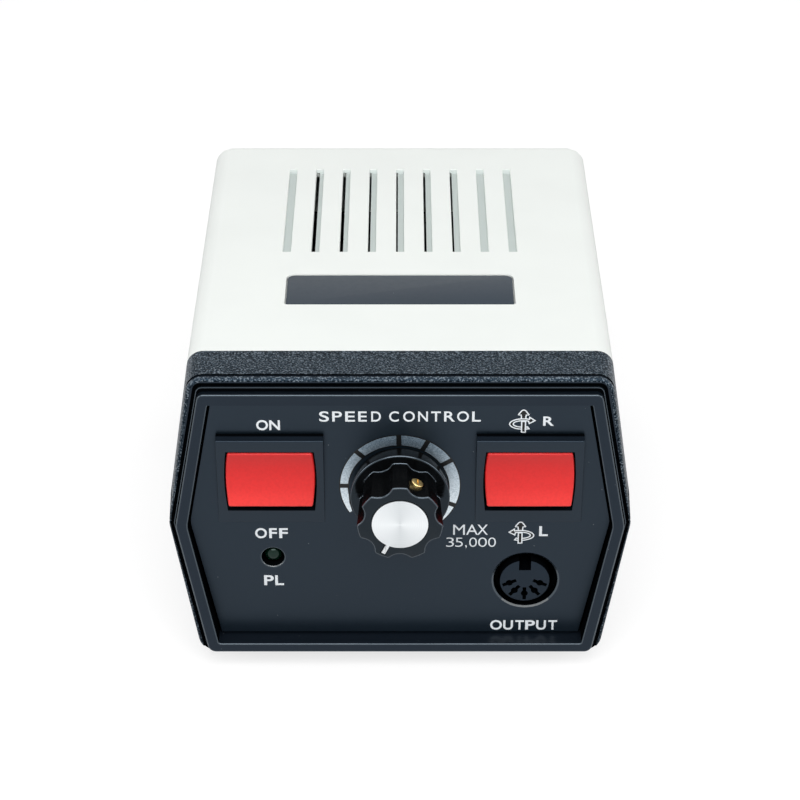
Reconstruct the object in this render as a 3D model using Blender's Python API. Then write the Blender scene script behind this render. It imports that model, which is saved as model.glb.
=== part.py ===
"""Control box of a bench micromotor, as a kit of separate parts, in metres, +Z up.

The front looks along -Y, the box stands on z = 0, and its extent is centred on x = 0 and y = 0.
A depth is measured back from the front rim, a height up from the surface that the feet stand on.
"""

import math

import bmesh
import bpy
from mathutils import Matrix, Vector

# Clearances
FIT = 0.0003
OVERRUN = 0.002
SCREW_FIT = 0.0003
OVERLAP = 0.0005

# Roundness of turned parts, as counts of sides
ROUND = 24
SMALL_ROUND = 12
SCREW_SIDES = 10
CONTACT_SIDES = 8
NUT_SIDES = 6
ARC_STEPS = 4

# Case, a hexagon seen from the front
CASE_HALF_TOP = 0.0501
CASE_HALF_RIDGE = 0.0559
CASE_HALF_BOTTOM = 0.04905
CASE_TALL = 0.0767
CASE_RIDGE_UP = 0.0371
CASE_DEEP = 0.1428
CASE_TOP_R = 0.004
CASE_BASE_R = 0.0045
CASE_REAR_R = 0.006
RIDGE_R = 0.006
SEAM_DEPTH = 0.0152
WALL = 0.0025
REAR_WALL = 0.0035
EDGE_R = 0.0004

# Bezel and its smooth rim
RIM_UP = 0.0016
RIM_DROP = 0.004
RIM_IN_TOP = 0.0028
RIM_IN_RIDGE = 0.00225
RIM_IN_BOTTOM = 0.00245
RIM_EDGE = 0.0003
RIM_TOP_R = 0.0015
RIM_BASE_R = 0.0018
BEZEL_SET_BACK = 0.0019
BEZEL_GROOVE = 0.0006
BEZEL_BEAD = 0.0008
BEZEL_DRAFT = 0.0006
BEZEL_BASE_SHARE = 0.7
GROOVE_LEAN = 0.0003
TONGUE = 0.005
TONGUE_WALL = 0.0015
LEDGE = 0.003
LEDGE_THICK = 0.0018

# Front panel
RIM_BAND = 0.0028
RIM_BAND_BOTTOM = 0.0024
PANEL_SINK = 0.005
PANEL_THICK = 0.0025

# Rocker switches; heights on the panel are above the rim's lower edge
SWITCH_FROM_SIDE = 0.0157236
SWITCH_UP = 0.0481
PAD_WIDE = 0.0254
PAD_TALL = 0.025
PAD_PROUD_TOP = 0.0018
PAD_PROUD_FOOT = 0.0002
ROCKER_HALF_MID = 0.01055
ROCKER_HALF_END = 0.01
ROCKER_HALF_TALL = 0.00707
ROCKER_HIGH = 0.0081
ROCKER_HOLLOW = 0.0007
ROCKER_RIM = 0.004
ROCKER_HUB = 0.002
ROCKER_TILT = math.radians(8)
ROCKER_STATIONS = 6
PIVOT_DEEP = 0.0065
PIVOT_R = 0.0015
PIVOT_REACH = 0.0009
ROCKER_GAP_SIDE = 0.0004
ROCKER_GAP_END = 0.0014
SWITCH_HALF_WIDE = 0.0126
SWITCH_HALF_TALL = 0.0105
SWITCH_DEEP = 0.0145
SWITCH_FLOOR = 0.002

# Speed control
KNOB_UP = 0.0459
KNOB_LIFT = 0.0006
SKIRT_R = 0.01185
SKIRT_TALL = 0.0040
SKIRT_BEVEL = 0.0005
KNOB_TALL = 0.0160
KNOB_ROOT_R = 0.0095
KNOB_NOSE_R = 0.0101
KNOB_BEVEL = 0.0004
FLUTE_DEEP = 0.0015
KNOB_LOBES = 7
LOBE_SHARE = 0.42
LOBE_POINTS = 3
FLUTE_POINTS = 5
NUT_ROOM_R = 0.0078
NUT_ROOM_TALL = 0.0036
CAP_R = 0.0066
CAP_THICK = 0.0009
CAP_PROUD = 0.0003
POINTER_WIDE = 0.001
POINTER_LONG = 0.0025
POINTER_FROM_TOP = math.radians(-154.3)
GRUB_R = 0.0015
GRUB_UP = 0.0100
SHAFT_R = 0.003
BUSHING_R = 0.0035
BUSHING_PROUD = 0.0032
POT_R = 0.0085
POT_DEEP = 0.0095
POT_WALL = 0.0016
POT_NUT_R = 0.0055
POT_NUT_THICK = 0.0018

# Pilot lamp
LAMP_UP = 0.0251
LENS_R = 0.0025
LENS_SUNK = 0.001
LENS_LONG = 0.0085
LAMP_HOLE_R = 0.0028
HOLDER_R = 0.0042
HOLDER_LONG = 0.0055

# Output socket
SOCKET_UP = 0.0186
SOCKET_HOLE_R = 0.00815
SHELL_R = 0.0078
SHELL_WALL = 0.0009
SHELL_SUNK = 0.0007
SHELL_DEEP = 0.0135
SHELL_FLOOR = 0.0012
INSERT_R = 0.00595
INSERT_SUNK = 0.0004
CONTACT_RING_R = 0.0035
CONTACT_R = 0.00075
CONTACT_DEEP = 0.007
CONTACT_STEP = math.radians(45)
CONTACTS = 5
KEY_WIDE = 0.0029
KEY_DEEP = 0.0028
FLANGE_HALF_WIDE = 0.0117
FLANGE_HALF_TALL = 0.0082
FLANGE_THICK = 0.0015
FLANGE_SCREW_X = 0.0098
BOSS_TALL = 0.003
BOSS_R = 0.0018

# Vents and nameplate in the cover's top
VENT_COUNT = 9
VENT_PITCH = 0.0072
VENT_WIDE = 0.002
VENT_FROM = 0.0706
VENT_TO = 0.1248
VENT_SLOPE = 0.002
VENT_DEEP = 0.0012
SLIT_WIDE = 0.0008
BLIND_VENTS = (0, 7, 8)
PLATE_WIDE = 0.056
PLATE_FROM = 0.0404
PLATE_TO = 0.057
PLATE_THICK = 0.0007
PLATE_SUNK = 0.0002
PLATE_R = 0.002

# Feet and case screws
FOOT_TALL = 0.004
FOOT_R = 0.006
FOOT_TIP_R = 0.0052
FOOT_FROM_SIDE = 0.01805
FOOT_FROM_SEAM = 0.0108
FOOT_FROM_REAR = 0.0095
SPIGOT_R = 0.0022
SPIGOT_HEAD = 0.0006
TOWER_FROM_SIDE = 0.009575
TOWER_FROM_SEAM = 0.0192
TOWER_FROM_REAR = 0.0135
TOWER_R = 0.0044
TOWER_CAP = 0.003
POST_R = 0.0035
POST_PILOT = 0.012
M3_R = 0.0015
M3_HEAD_R = 0.00275
M3_HEAD = 0.002
CASE_SCREW_LONG = 0.012
SHORT_SCREW_LONG = 0.007

# Circuit board and what stands on it
BOARD_FROM_TOWER = 0.0016
BOARD_FROM_SEAM = 0.0088
BOARD_DEEP = 0.036
BOARD_THICK = 0.0016
BOARD_UP = 0.014
PILLAR_R = 0.003
PILLAR_IN = 0.0045
CAPACITOR_R = 0.008
CAPACITOR_TALL = 0.025
CAPACITOR_EDGE = 0.0008
CAPACITOR_FROM_SIDE = 0.005
CAPACITOR_IN = 0.018
RECTIFIER_WIDE = 0.019
RECTIFIER_DEEP = 0.0046
RECTIFIER_TALL = 0.016
RECTIFIER_X = 0.0005
RECTIFIER_IN = 0.029
SINK_WIDE = 0.025
SINK_TALL = 0.025
SINK_BACK_THICK = 0.003
SINK_FIN_LONG = 0.009
SINK_FIN_THICK = 0.0015
SINK_FINS = 5
SINK_FROM_SIDE = 0.0035
SINK_IN = 0.012
TO220_WIDE = 0.0102
TO220_BODY = 0.0092
TO220_TALL = 0.0158
TO220_THICK = 0.0045
TO220_TAB = 0.0013
TO220_UP = 0.0075
TO220_HOLE_DROP = 0.003
LEG_WIDE = 0.0009
RECTIFIER_LEGS = 4
LEG_PITCH = 0.00254

# Mains transformer, a laminated core of E and I plates
CORE_LIMB = 0.0095
CORE_WIDE_LIMBS = 6
CORE_TALL_LIMBS = 5
CORE_STACK = 0.025
COIL_FROM_BOARD = 0.004
COIL_PROUD = 0.009
BOBBIN_WALL = 0.001
BOBBIN_FLANGE = 0.0012
COIL_SLACK = 0.0006
COIL_R = 0.0009
STRAP = 0.0012
STRAP_DEEP = 0.018
STRAP_FOOT = 0.0085
PAD_UP = 0.0095
PAD_REACH = 0.013

# Rear panel and its fittings
REAR_FROM_SIDE = 0.0013
REAR_LOW = 0.018
REAR_HIGH = 0.064
REAR_THICK = 0.0015
REAR_RECESS = 0.0002
REAR_LIP_SIDE = 0.0075
REAR_LIP_END = 0.003
REAR_CORNER = 0.0036
REAR_BOSS_R = 0.0033
REAR_BOSS_LONG = 0.0055
INLET_FROM_LIP = 0.0043
FITTING_UP = 0.041
INLET_HALF_WIDE = 0.0135
INLET_HALF_TALL = 0.0098
INLET_FLANGE_WIDE = 0.0155
INLET_FLANGE_TALL = 0.012
INLET_FLANGE = 0.0025
INLET_DEEP = 0.018
INLET_CAVITY_WIDE = 0.0118
INLET_CAVITY_TALL = 0.0078
INLET_CAVITY_DEEP = 0.0155
BLADE_WIDE = 0.002
BLADE_TALL = 0.004
BLADE_LONG = 0.0125
BLADE_PITCH = 0.007
BLADE_UP = -0.0005
EARTH_UP = 0.0035
FUSE_UP = 0.0505
FUSE_FLANGE_R = 0.0073
FUSE_FLANGE = 0.002
FUSE_BODY_R = 0.006
FUSE_BODY_LONG = 0.026
FUSE_BORE_R = 0.0036
FUSE_BORE_LONG = 0.0245
FUSE_R = 0.0026
FUSE_CAP_LENGTH = 0.005
FUSE_NECK = 0.0002
FUSE_LONG = 0.02
FUSE_HEAD_R = 0.0061
FUSE_HEAD = 0.0075
FUSE_STEM = 0.004
FUSE_SLOT = 0.0012
FUSE_SLOT_DEEP = 0.0015
JACK_FROM_LIP = 0.0028
JACK_BORE_R = 0.0034
JACK_BUSHING_R = 0.0046
JACK_PROUD = 0.0042
JACK_BODY_R = 0.008
JACK_LONG = 0.023
JACK_NUT_R = 0.0068
JACK_NUT = 0.0026
SLIDE_UP = 0.0305
SLIDE_HALF_WIDE = 0.0085
SLIDE_HALF_TALL = 0.0042
SLIDE_DEEP = 0.008
SLIDE_WALL = 0.0012
SLIDER_BASE_HALF = 0.0045
SLIDER_KNOB_HALF = 0.0019
SLIDER_BASE = 0.003
SLIDER_PROUD = 0.0025
SLIDER_TRAVEL = 0.004

# Colours as red, green, blue, then roughness and metallic
CREAM = (0.83, 0.84, 0.79, 0.45, 0.0)
GRAINED_BLACK = (0.022, 0.027, 0.034, 0.6, 0.0)
SLATE = (0.030, 0.037, 0.047, 0.4, 0.0)
PLATE_SLATE = (0.055, 0.075, 0.095, 0.4, 0.0)
RED = (0.80, 0.045, 0.040, 0.35, 0.0)
GLOSS_BLACK = (0.006, 0.006, 0.007, 0.15, 0.0)
MATT_BLACK = (0.015, 0.015, 0.016, 0.55, 0.0)
RUBBER_BLACK = (0.02, 0.02, 0.02, 0.85, 0.0)
SPUN_METAL = (0.86, 0.87, 0.88, 0.25, 1.0)
BRIGHT_STEEL = (0.62, 0.63, 0.64, 0.3, 1.0)
ALUMINIUM = (0.72, 0.73, 0.74, 0.4, 1.0)
BRASS = (0.78, 0.57, 0.22, 0.3, 1.0)
COPPER = (0.72, 0.30, 0.12, 0.35, 1.0)
CORE_GREY = (0.22, 0.23, 0.25, 0.5, 1.0)
LENS_GREEN = (0.03, 0.16, 0.08, 0.1, 0.0)
BOARD_GREEN = (0.03, 0.20, 0.08, 0.4, 0.0)
BOBBIN_WHITE = (0.75, 0.73, 0.66, 0.5, 0.0)
CAN_BLUE = (0.05, 0.10, 0.30, 0.3, 0.0)
GLASS_CLEAR = (0.75, 0.80, 0.80, 0.05, 0.0)

# Places that follow from the sizes above
LEAN_DROP = CASE_TALL - RIM_UP - RIM_DROP - RIM_BAND - RIM_BAND_BOTTOM
LEAN = math.atan2(PANEL_SINK, LEAN_DROP)
CASE_LOW = FOOT_TALL
CASE_RIDGE = CASE_LOW + CASE_RIDGE_UP
CASE_HIGH = CASE_LOW + CASE_TALL
RIM_LOW = CASE_LOW + RIM_UP
RIM_HIGH = CASE_HIGH - RIM_DROP
POCKET_LOW = RIM_LOW + RIM_BAND_BOTTOM
POCKET_HIGH = RIM_HIGH - RIM_BAND
FACE_HIGH = KNOB_TALL + CAP_PROUD
KNOB_DROP = POCKET_HIGH - RIM_LOW - KNOB_UP
KNOB_REACH = FACE_HIGH * math.cos(LEAN) + CAP_R * math.sin(LEAN) - KNOB_DROP * math.tan(LEAN)
REAR_FACE = CASE_DEEP - REAR_RECESS
CORE_WIDE = CORE_WIDE_LIMBS * CORE_LIMB
CORE_TALL = CORE_TALL_LIMBS * CORE_LIMB
BOARD_FAR_DEPTH = SEAM_DEPTH + BOARD_FROM_SEAM + BOARD_DEEP
CORE_DEPTH = BOARD_FAR_DEPTH + COIL_FROM_BOARD + COIL_PROUD + CORE_STACK / 2
FUSE_TIP = FIT + FUSE_FLANGE + FIT + FUSE_HEAD
REAR_REACH = FUSE_TIP - REAR_RECESS
RIM_Y = (KNOB_REACH - CASE_DEEP - REAR_REACH) / 2
TOWER_X = (CASE_HALF_TOP + CASE_HALF_BOTTOM) / 2 - TOWER_FROM_SIDE
FOOT_X = CASE_HALF_BOTTOM - FOOT_FROM_SIDE
BOARD_HALF_WIDE = TOWER_X - TOWER_R - BOARD_FROM_TOWER
CAPACITOR_X = CAPACITOR_FROM_SIDE + CAPACITOR_R - BOARD_HALF_WIDE
SINK_X = BOARD_HALF_WIDE - SINK_FROM_SIDE - SINK_WIDE / 2
PAD_LOW = RIM_LOW + SWITCH_UP - PAD_TALL / 2
PAD_HIGH = RIM_LOW + SWITCH_UP + PAD_TALL / 2


def clear_scene():
    for obj in list(bpy.data.objects):
        bpy.data.objects.remove(obj, do_unlink=True)


def material(name, look):
    red, green, blue, roughness, metallic = look
    made = bpy.data.materials.new(name)
    made.use_nodes = True
    shader = made.node_tree.nodes["Principled BSDF"]
    shader.inputs["Base Color"].default_value = (red, green, blue, 1)
    shader.inputs["Roughness"].default_value = roughness
    shader.inputs["Metallic"].default_value = metallic
    made.diffuse_color = (red, green, blue, 1)
    return made


def finished(name, bm, look=None, parent=None, place=(0, 0, 0), turn=(0, 0, 0)):
    """An object made from a bmesh. With no look it is a cutter or a shape to join."""
    bmesh.ops.recalc_face_normals(bm, faces=bm.faces)
    mesh = bpy.data.meshes.new(name)
    bm.to_mesh(mesh)
    bm.free()
    mesh.shade_smooth()
    mesh.set_sharp_from_angle(angle=math.radians(30))
    obj = bpy.data.objects.new(name, mesh)
    bpy.context.collection.objects.link(obj)
    obj.parent = parent
    obj.location = place
    obj.rotation_euler = turn
    if look is None:
        obj.hide_render = True
        obj.display_type = "WIRE"
    else:
        mesh.materials.append(material(name, look))
    return obj


def combine(obj, helper, operation):
    modifier = obj.modifiers.new(helper.name, "BOOLEAN")
    modifier.operation = operation
    modifier.solver = "EXACT"
    modifier.object = helper


def cut(obj, helper):
    combine(obj, helper, "DIFFERENCE")


def join(obj, helper):
    combine(obj, helper, "UNION")


def axis_empty(name, place, turn, parent=None):
    empty = bpy.data.objects.new(name, None)
    bpy.context.collection.objects.link(empty)
    empty.parent = parent
    empty.location = place
    empty.rotation_euler = turn
    return empty


def loft(bm, rings, closed=False):
    """Skin through rings with the same number of points; open ends get a flat cap."""
    loops = [[bm.verts.new(point) for point in ring] for ring in rings]
    pairs = list(zip(loops, loops[1:]))
    if closed:
        pairs.append((loops[-1], loops[0]))
    else:
        bm.faces.new(loops[0])
        bm.faces.new(loops[-1])
    for near, far in pairs:
        for k in range(len(near)):
            after = (k + 1) % len(near)
            bm.faces.new((near[k], near[after], far[after], far[k]))


def lofted(rings, closed=False):
    bm = bmesh.new()
    loft(bm, rings, closed)
    return bm


def add_box(bm, low, high):
    rectangle = [(low[0], low[1]), (high[0], low[1]), (high[0], high[1]), (low[0], high[1])]
    loft(bm, [[(x, y, z) for x, y in rectangle] for z in (low[2], high[2])])


def boxes(*corners):
    bm = bmesh.new()
    for low, high in corners:
        add_box(bm, low, high)
    return bm


def circle(radius, height, sides, centre=(0, 0)):
    angles = [2 * math.pi * k / sides for k in range(sides)]
    return [(centre[0] + radius * math.cos(a), centre[1] + radius * math.sin(a), height) for a in angles]


def turned(profile, sides=ROUND, closed=False):
    """A shape turned about local Z from (radius, height) points, with its ends capped."""
    return lofted([circle(radius, height, sides) for radius, height in profile], closed)


def drums(radius, low, high, centres, sides=SMALL_ROUND):
    bm = bmesh.new()
    for centre in centres:
        loft(bm, [circle(radius, height, sides, centre) for height in (low, high)])
    return bm


def inset(corners, distances):
    """Corners of a convex outline, side k moved in; side k runs from corner k to the next."""
    count = len(corners)
    lines = []
    for k in range(count):
        start, end = Vector(corners[k]), Vector(corners[(k + 1) % count])
        along = (end - start).normalized()
        inward = Vector((-along.y, along.x))
        lines.append((start + inward * distances[k], along))
    moved = []
    for k in range(count):
        (point, along), (other, onward) = lines[k - 1], lines[k]
        step = (other - point).cross(onward) / along.cross(onward)
        moved.append(tuple(point + along * step))
    return moved


def rounded(corners, radii, steps=ARC_STEPS):
    """The outline with every corner turned into an arc of its own radius."""
    count = len(corners)
    points = []
    for k in range(count):
        corner = Vector(corners[k])
        before = (Vector(corners[k - 1]) - corner).normalized()
        after = (Vector(corners[(k + 1) % count]) - corner).normalized()
        half = before.angle(after) / 2
        radius = max(radii[k], EDGE_R)
        centre = corner + (before + after).normalized() * radius / math.sin(half)
        start = corner + before * radius / math.tan(half) - centre
        sweep = start.angle_signed(corner + after * radius / math.tan(half) - centre)
        for step in range(steps + 1):
            turn = Matrix.Rotation(-sweep * step / steps, 2)
            points.append(tuple(centre + turn @ start))
    return points


def at_depth(outline, depth):
    """An (x, z) outline placed at a depth behind the rim, which may depend on the height."""
    return [(x, RIM_Y + (depth(z) if callable(depth) else depth), z) for x, z in outline]


def rectangle(half_wide, low, high, centre=0):
    return [
        (centre - half_wide, low),
        (centre + half_wide, low),
        (centre + half_wide, high),
        (centre - half_wide, high),
    ]


# Outlines of the case, seen from the front and running from the lower left corner

def case_corners():
    return [
        (-CASE_HALF_BOTTOM, CASE_LOW),
        (CASE_HALF_BOTTOM, CASE_LOW),
        (CASE_HALF_RIDGE, CASE_RIDGE),
        (CASE_HALF_TOP, CASE_HIGH),
        (-CASE_HALF_TOP, CASE_HIGH),
        (-CASE_HALF_RIDGE, CASE_RIDGE),
    ]


def rim_corners():
    return [
        (-CASE_HALF_BOTTOM + RIM_IN_BOTTOM, RIM_LOW),
        (CASE_HALF_BOTTOM - RIM_IN_BOTTOM, RIM_LOW),
        (CASE_HALF_RIDGE - RIM_IN_RIDGE, CASE_RIDGE),
        (CASE_HALF_TOP - RIM_IN_TOP, RIM_HIGH),
        (-CASE_HALF_TOP + RIM_IN_TOP, RIM_HIGH),
        (-CASE_HALF_RIDGE + RIM_IN_RIDGE, CASE_RIDGE),
    ]


def half_at(corners, z):
    """Half an outline's width at a height."""
    low, ridge, high = corners[1:4]
    foot, head = (low, ridge) if z < ridge[1] else (ridge, high)
    return foot[0] + (head[0] - foot[0]) * (z - foot[1]) / (head[1] - foot[1])


def switch_x():
    """How far from the middle a switch is, set in from the narrower end of its pad."""
    rim = rim_corners()
    return min(half_at(rim, PAD_LOW), half_at(rim, PAD_HIGH)) - RIM_BAND - SWITCH_FROM_SIDE


def rear_half():
    """Half the rear panel's width, set in from the case's rounded rear edge."""
    case = case_corners()
    return min(half_at(case, REAR_LOW), half_at(case, REAR_HIGH)) - CASE_REAR_R - REAR_FROM_SIDE


def inlet_x():
    return REAR_LIP_SIDE + INLET_FROM_LIP + INLET_HALF_WIDE - rear_half()


def jack_x():
    return rear_half() - REAR_LIP_SIDE - JACK_FROM_LIP - JACK_BODY_R


def fuse_x():
    """The fuse and the selector are midway between the inlet's flange and the jack's nut."""
    return (inlet_x() + INLET_FLANGE_WIDE + jack_x() - JACK_NUT_R) / 2


def hexagon(corners, by, base_r, top_r, base_share=1):
    """A hexagon moved in, its lower side by a share of the distance, with rounded corners."""
    distances = [by] * len(corners)
    distances[0] = by * base_share
    moved = inset(corners, distances)
    return rounded(moved, [base_r - by, base_r - by, RIDGE_R, top_r - by, top_r - by, RIDGE_R])


def case_outline(by, base_share=1):
    return hexagon(case_corners(), by, CASE_BASE_R, CASE_TOP_R, base_share)


def pocket_outline(by=0):
    band = [RIM_BAND + by] * len(rim_corners())
    band[0] = RIM_BAND_BOTTOM + by
    radii = [EDGE_R] * len(band)
    radii[2] = radii[5] = RIDGE_R
    return rounded(inset(rim_corners(), band), radii)


def panel_front(z):
    """Depth of the leaning panel's face at a height."""
    return (POCKET_HIGH - z) * math.tan(LEAN)


def panel_rear(z):
    return panel_front(z) + PANEL_THICK / math.cos(LEAN)


def on_panel(x, up):
    """Local place on the panel's face, for a height above the rim's lower edge."""
    return (x, (RIM_LOW + up - POCKET_HIGH) / math.cos(LEAN), 0)


# Case

def upper_corners(by=0, bottom=0):
    corners = case_corners()[2:]
    order = [corners[3], corners[0], corners[1], corners[2]]
    return inset(order, [bottom, by, by, by])


def lower_corners(by=0, top=0):
    corners = case_corners()
    order = [corners[0], corners[1], corners[2], corners[5]]
    return inset(order, [by, by, top, by])


def rear_rounding():
    """Pairs of depth and inset that carry an outline round the rear edge."""
    pairs = [(SEAM_DEPTH, 0)]
    for step in range(ARC_STEPS + 1):
        angle = step * math.pi / 2 / ARC_STEPS
        depth = CASE_DEEP - CASE_REAR_R * (1 - math.sin(angle))
        pairs.append((depth, CASE_REAR_R * (1 - math.cos(angle))))
    return pairs


def tower_places():
    near = RIM_Y + SEAM_DEPTH + TOWER_FROM_SEAM
    far = RIM_Y + CASE_DEEP - TOWER_FROM_REAR
    return [(side * TOWER_X, y) for y in (near, far) for side in (-1, 1)]


def foot_places():
    near = RIM_Y + SEAM_DEPTH + FOOT_FROM_SEAM
    far = RIM_Y + CASE_DEEP - FOOT_FROM_REAR
    return [(side * FOOT_X, y) for y in (near, far) for side in (-1, 1)]


def rear_screw_places():
    x = rear_half() - REAR_CORNER
    return [(sx * x, z) for z in (REAR_LOW + REAR_CORNER, REAR_HIGH - REAR_CORNER) for sx in (-1, 1)]


def rear_drums(name, radius, near, far, places):
    """Drums along Y at (x, z) places, between two depths."""
    spots = [(x, -z) for x, z in places]
    low, high = RIM_Y + near, RIM_Y + far
    return finished(name, drums(radius, low, high, spots), turn=(-math.pi / 2, 0, 0))


def rear_window_cutters():
    """What the rear panel needs cut from both halves of the case."""
    seat = CASE_DEEP - REAR_RECESS - REAR_THICK - FIT
    rebate = rectangle(rear_half() + FIT, REAR_LOW - FIT, REAR_HIGH + FIT)
    through = rectangle(rear_half() - REAR_LIP_SIDE, REAR_LOW + REAR_LIP_END, REAR_HIGH - REAR_LIP_END)
    deep = [at_depth(through, CASE_DEEP - REAR_WALL - OVERRUN), at_depth(through, seat + OVERLAP)]
    wide = [at_depth(rebate, seat), at_depth(rebate, CASE_DEEP + OVERRUN)]
    return [finished("cut_rear_window", lofted(deep)), finished("cut_rear_rebate", lofted(wide))]


def add_rear_bosses(obj, places, windows):
    seat = CASE_DEEP - REAR_RECESS - REAR_THICK - FIT
    inner = CASE_DEEP - REAR_WALL
    tip = inner - REAR_BOSS_LONG
    join(obj, rear_drums(obj.name + "_boss", REAR_BOSS_R, tip, inner + OVERLAP, places))
    for helper in windows:
        cut(obj, helper)
    bore = M3_R + SCREW_FIT
    cut(obj, rear_drums(obj.name + "_boss_bore", bore, tip + OVERLAP, seat + OVERRUN, places))


def vent_cutters():
    """Nine shallow slots with a slope at the far end, and the slits that go through the wall."""
    deep = CASE_HIGH - VENT_DEEP
    above = CASE_HIGH + OVERRUN
    shallow, slits = bmesh.new(), bmesh.new()
    for k in range(VENT_COUNT):
        x = (k - (VENT_COUNT - 1) / 2) * VENT_PITCH
        low, high = x - VENT_WIDE / 2, x + VENT_WIDE / 2
        profile = [(VENT_FROM, deep), (VENT_TO - VENT_SLOPE, deep), (VENT_TO, CASE_HIGH)]
        profile += [(VENT_TO, above), (VENT_FROM, above)]
        loft(shallow, [[(side, RIM_Y + depth, z) for depth, z in profile] for side in (low, high)])
        if k not in BLIND_VENTS:
            near, far = RIM_Y + VENT_FROM + SLIT_WIDE, RIM_Y + VENT_TO - VENT_SLOPE - SLIT_WIDE
            floor = CASE_HIGH - WALL - OVERRUN
            add_box(slits, (low + FIT, near, floor), (low + FIT + SLIT_WIDE, far, deep + OVERLAP))
    return [finished("cut_vents", shallow), finished("cut_slits", slits)]


def plate_outline(margin):
    near, far = RIM_Y + PLATE_FROM - margin, RIM_Y + PLATE_TO + margin
    corners = rectangle(PLATE_WIDE / 2 + margin, near, far)
    return rounded(corners, [EDGE_R, EDGE_R, PLATE_R, PLATE_R])


def upper_cover(windows):
    rings = []
    for depth, by in rear_rounding():
        radii = [EDGE_R, EDGE_R, CASE_TOP_R - by, CASE_TOP_R - by]
        rings.append(at_depth(rounded(upper_corners(by, FIT / 2), radii), depth))
    cover = finished("upper_cover", lofted(rings), CREAM)
    inner = rounded(upper_corners(WALL, -OVERRUN), [EDGE_R, EDGE_R, CASE_TOP_R - WALL, CASE_TOP_R - WALL])
    hollow = [at_depth(inner, SEAM_DEPTH - OVERRUN), at_depth(inner, CASE_DEEP - REAR_WALL)]
    cut(cover, finished("cut_cover_inside", lofted(hollow)))
    foot, head = CASE_RIDGE + FIT, CASE_HIGH - WALL + OVERLAP
    join(cover, finished("cover_posts", drums(POST_R, foot, head, tower_places())))
    pilots = drums(M3_R + SCREW_FIT, foot - OVERRUN, foot + POST_PILOT, tower_places())
    cut(cover, finished("cut_post_pilots", pilots))
    for cutter in vent_cutters():
        cut(cover, cutter)
    floor = CASE_HIGH - PLATE_SUNK - PLATE_THICK - FIT
    pocket = [[(x, y, z) for x, y in plate_outline(FIT)] for z in (floor, CASE_HIGH + OVERRUN)]
    cut(cover, finished("cut_plate_pocket", lofted(pocket)))
    upper = [place for place in rear_screw_places() if place[1] > CASE_RIDGE]
    add_rear_bosses(cover, upper, windows)


def lower_case(windows):
    rings = []
    for depth, by in rear_rounding():
        radii = [CASE_BASE_R - by, CASE_BASE_R - by, EDGE_R, EDGE_R]
        rings.append(at_depth(rounded(lower_corners(by, FIT / 2), radii), depth))
    case = finished("lower_case", lofted(rings), GRAINED_BLACK)
    corners = lower_corners(WALL, -OVERRUN)
    inner = rounded(corners, [EDGE_R] * len(corners))
    hollow = [at_depth(inner, SEAM_DEPTH - OVERRUN), at_depth(inner, CASE_DEEP - REAR_WALL)]
    cut(case, finished("cut_case_inside", lofted(hollow)))
    floor = CASE_LOW + WALL - OVERLAP
    top = CASE_RIDGE - FIT
    join(case, finished("case_towers", drums(TOWER_R, floor, top, tower_places())))
    sockets = drums(M3_HEAD_R + SCREW_FIT, CASE_LOW - OVERRUN, top - TOWER_CAP, tower_places())
    cut(case, finished("cut_tower_sockets", sockets))
    bores = drums(M3_R + SCREW_FIT, top - TOWER_CAP - OVERLAP, top + OVERRUN, tower_places())
    cut(case, finished("cut_tower_bores", bores))
    pillar_top = BOARD_UP - FIT
    join(case, finished("board_pillars", drums(PILLAR_R, floor, pillar_top, board_corners())))
    pilots = drums(M3_R + SCREW_FIT, pillar_top - SHORT_SCREW_LONG, pillar_top + OVERRUN, board_corners())
    cut(case, finished("cut_pillar_pilots", pilots))
    half, middle = STRAP_DEEP / 2, RIM_Y + CORE_DEPTH
    inner_x, outer_x = strap_outer() + STRAP_FOOT - PAD_REACH, strap_outer() + STRAP_FOOT
    pads = [
        ((min(side * inner_x, side * outer_x), middle - half, floor),
         (max(side * inner_x, side * outer_x), middle + half, PAD_UP))
        for side in (-1, 1)
    ]
    join(case, finished("transformer_pads", boxes(*pads)))
    holes = drums(M3_R + SCREW_FIT, CASE_LOW + WALL / 2, PAD_UP + OVERRUN, strap_screws())
    cut(case, finished("cut_pad_pilots", holes))
    sockets = drums(SPIGOT_R + FIT, CASE_LOW - OVERRUN, CASE_LOW + WALL + OVERRUN, foot_places())
    cut(case, finished("cut_foot_sockets", sockets))
    lower = [place for place in rear_screw_places() if place[1] < CASE_RIDGE]
    add_rear_bosses(case, lower, windows)


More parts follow.
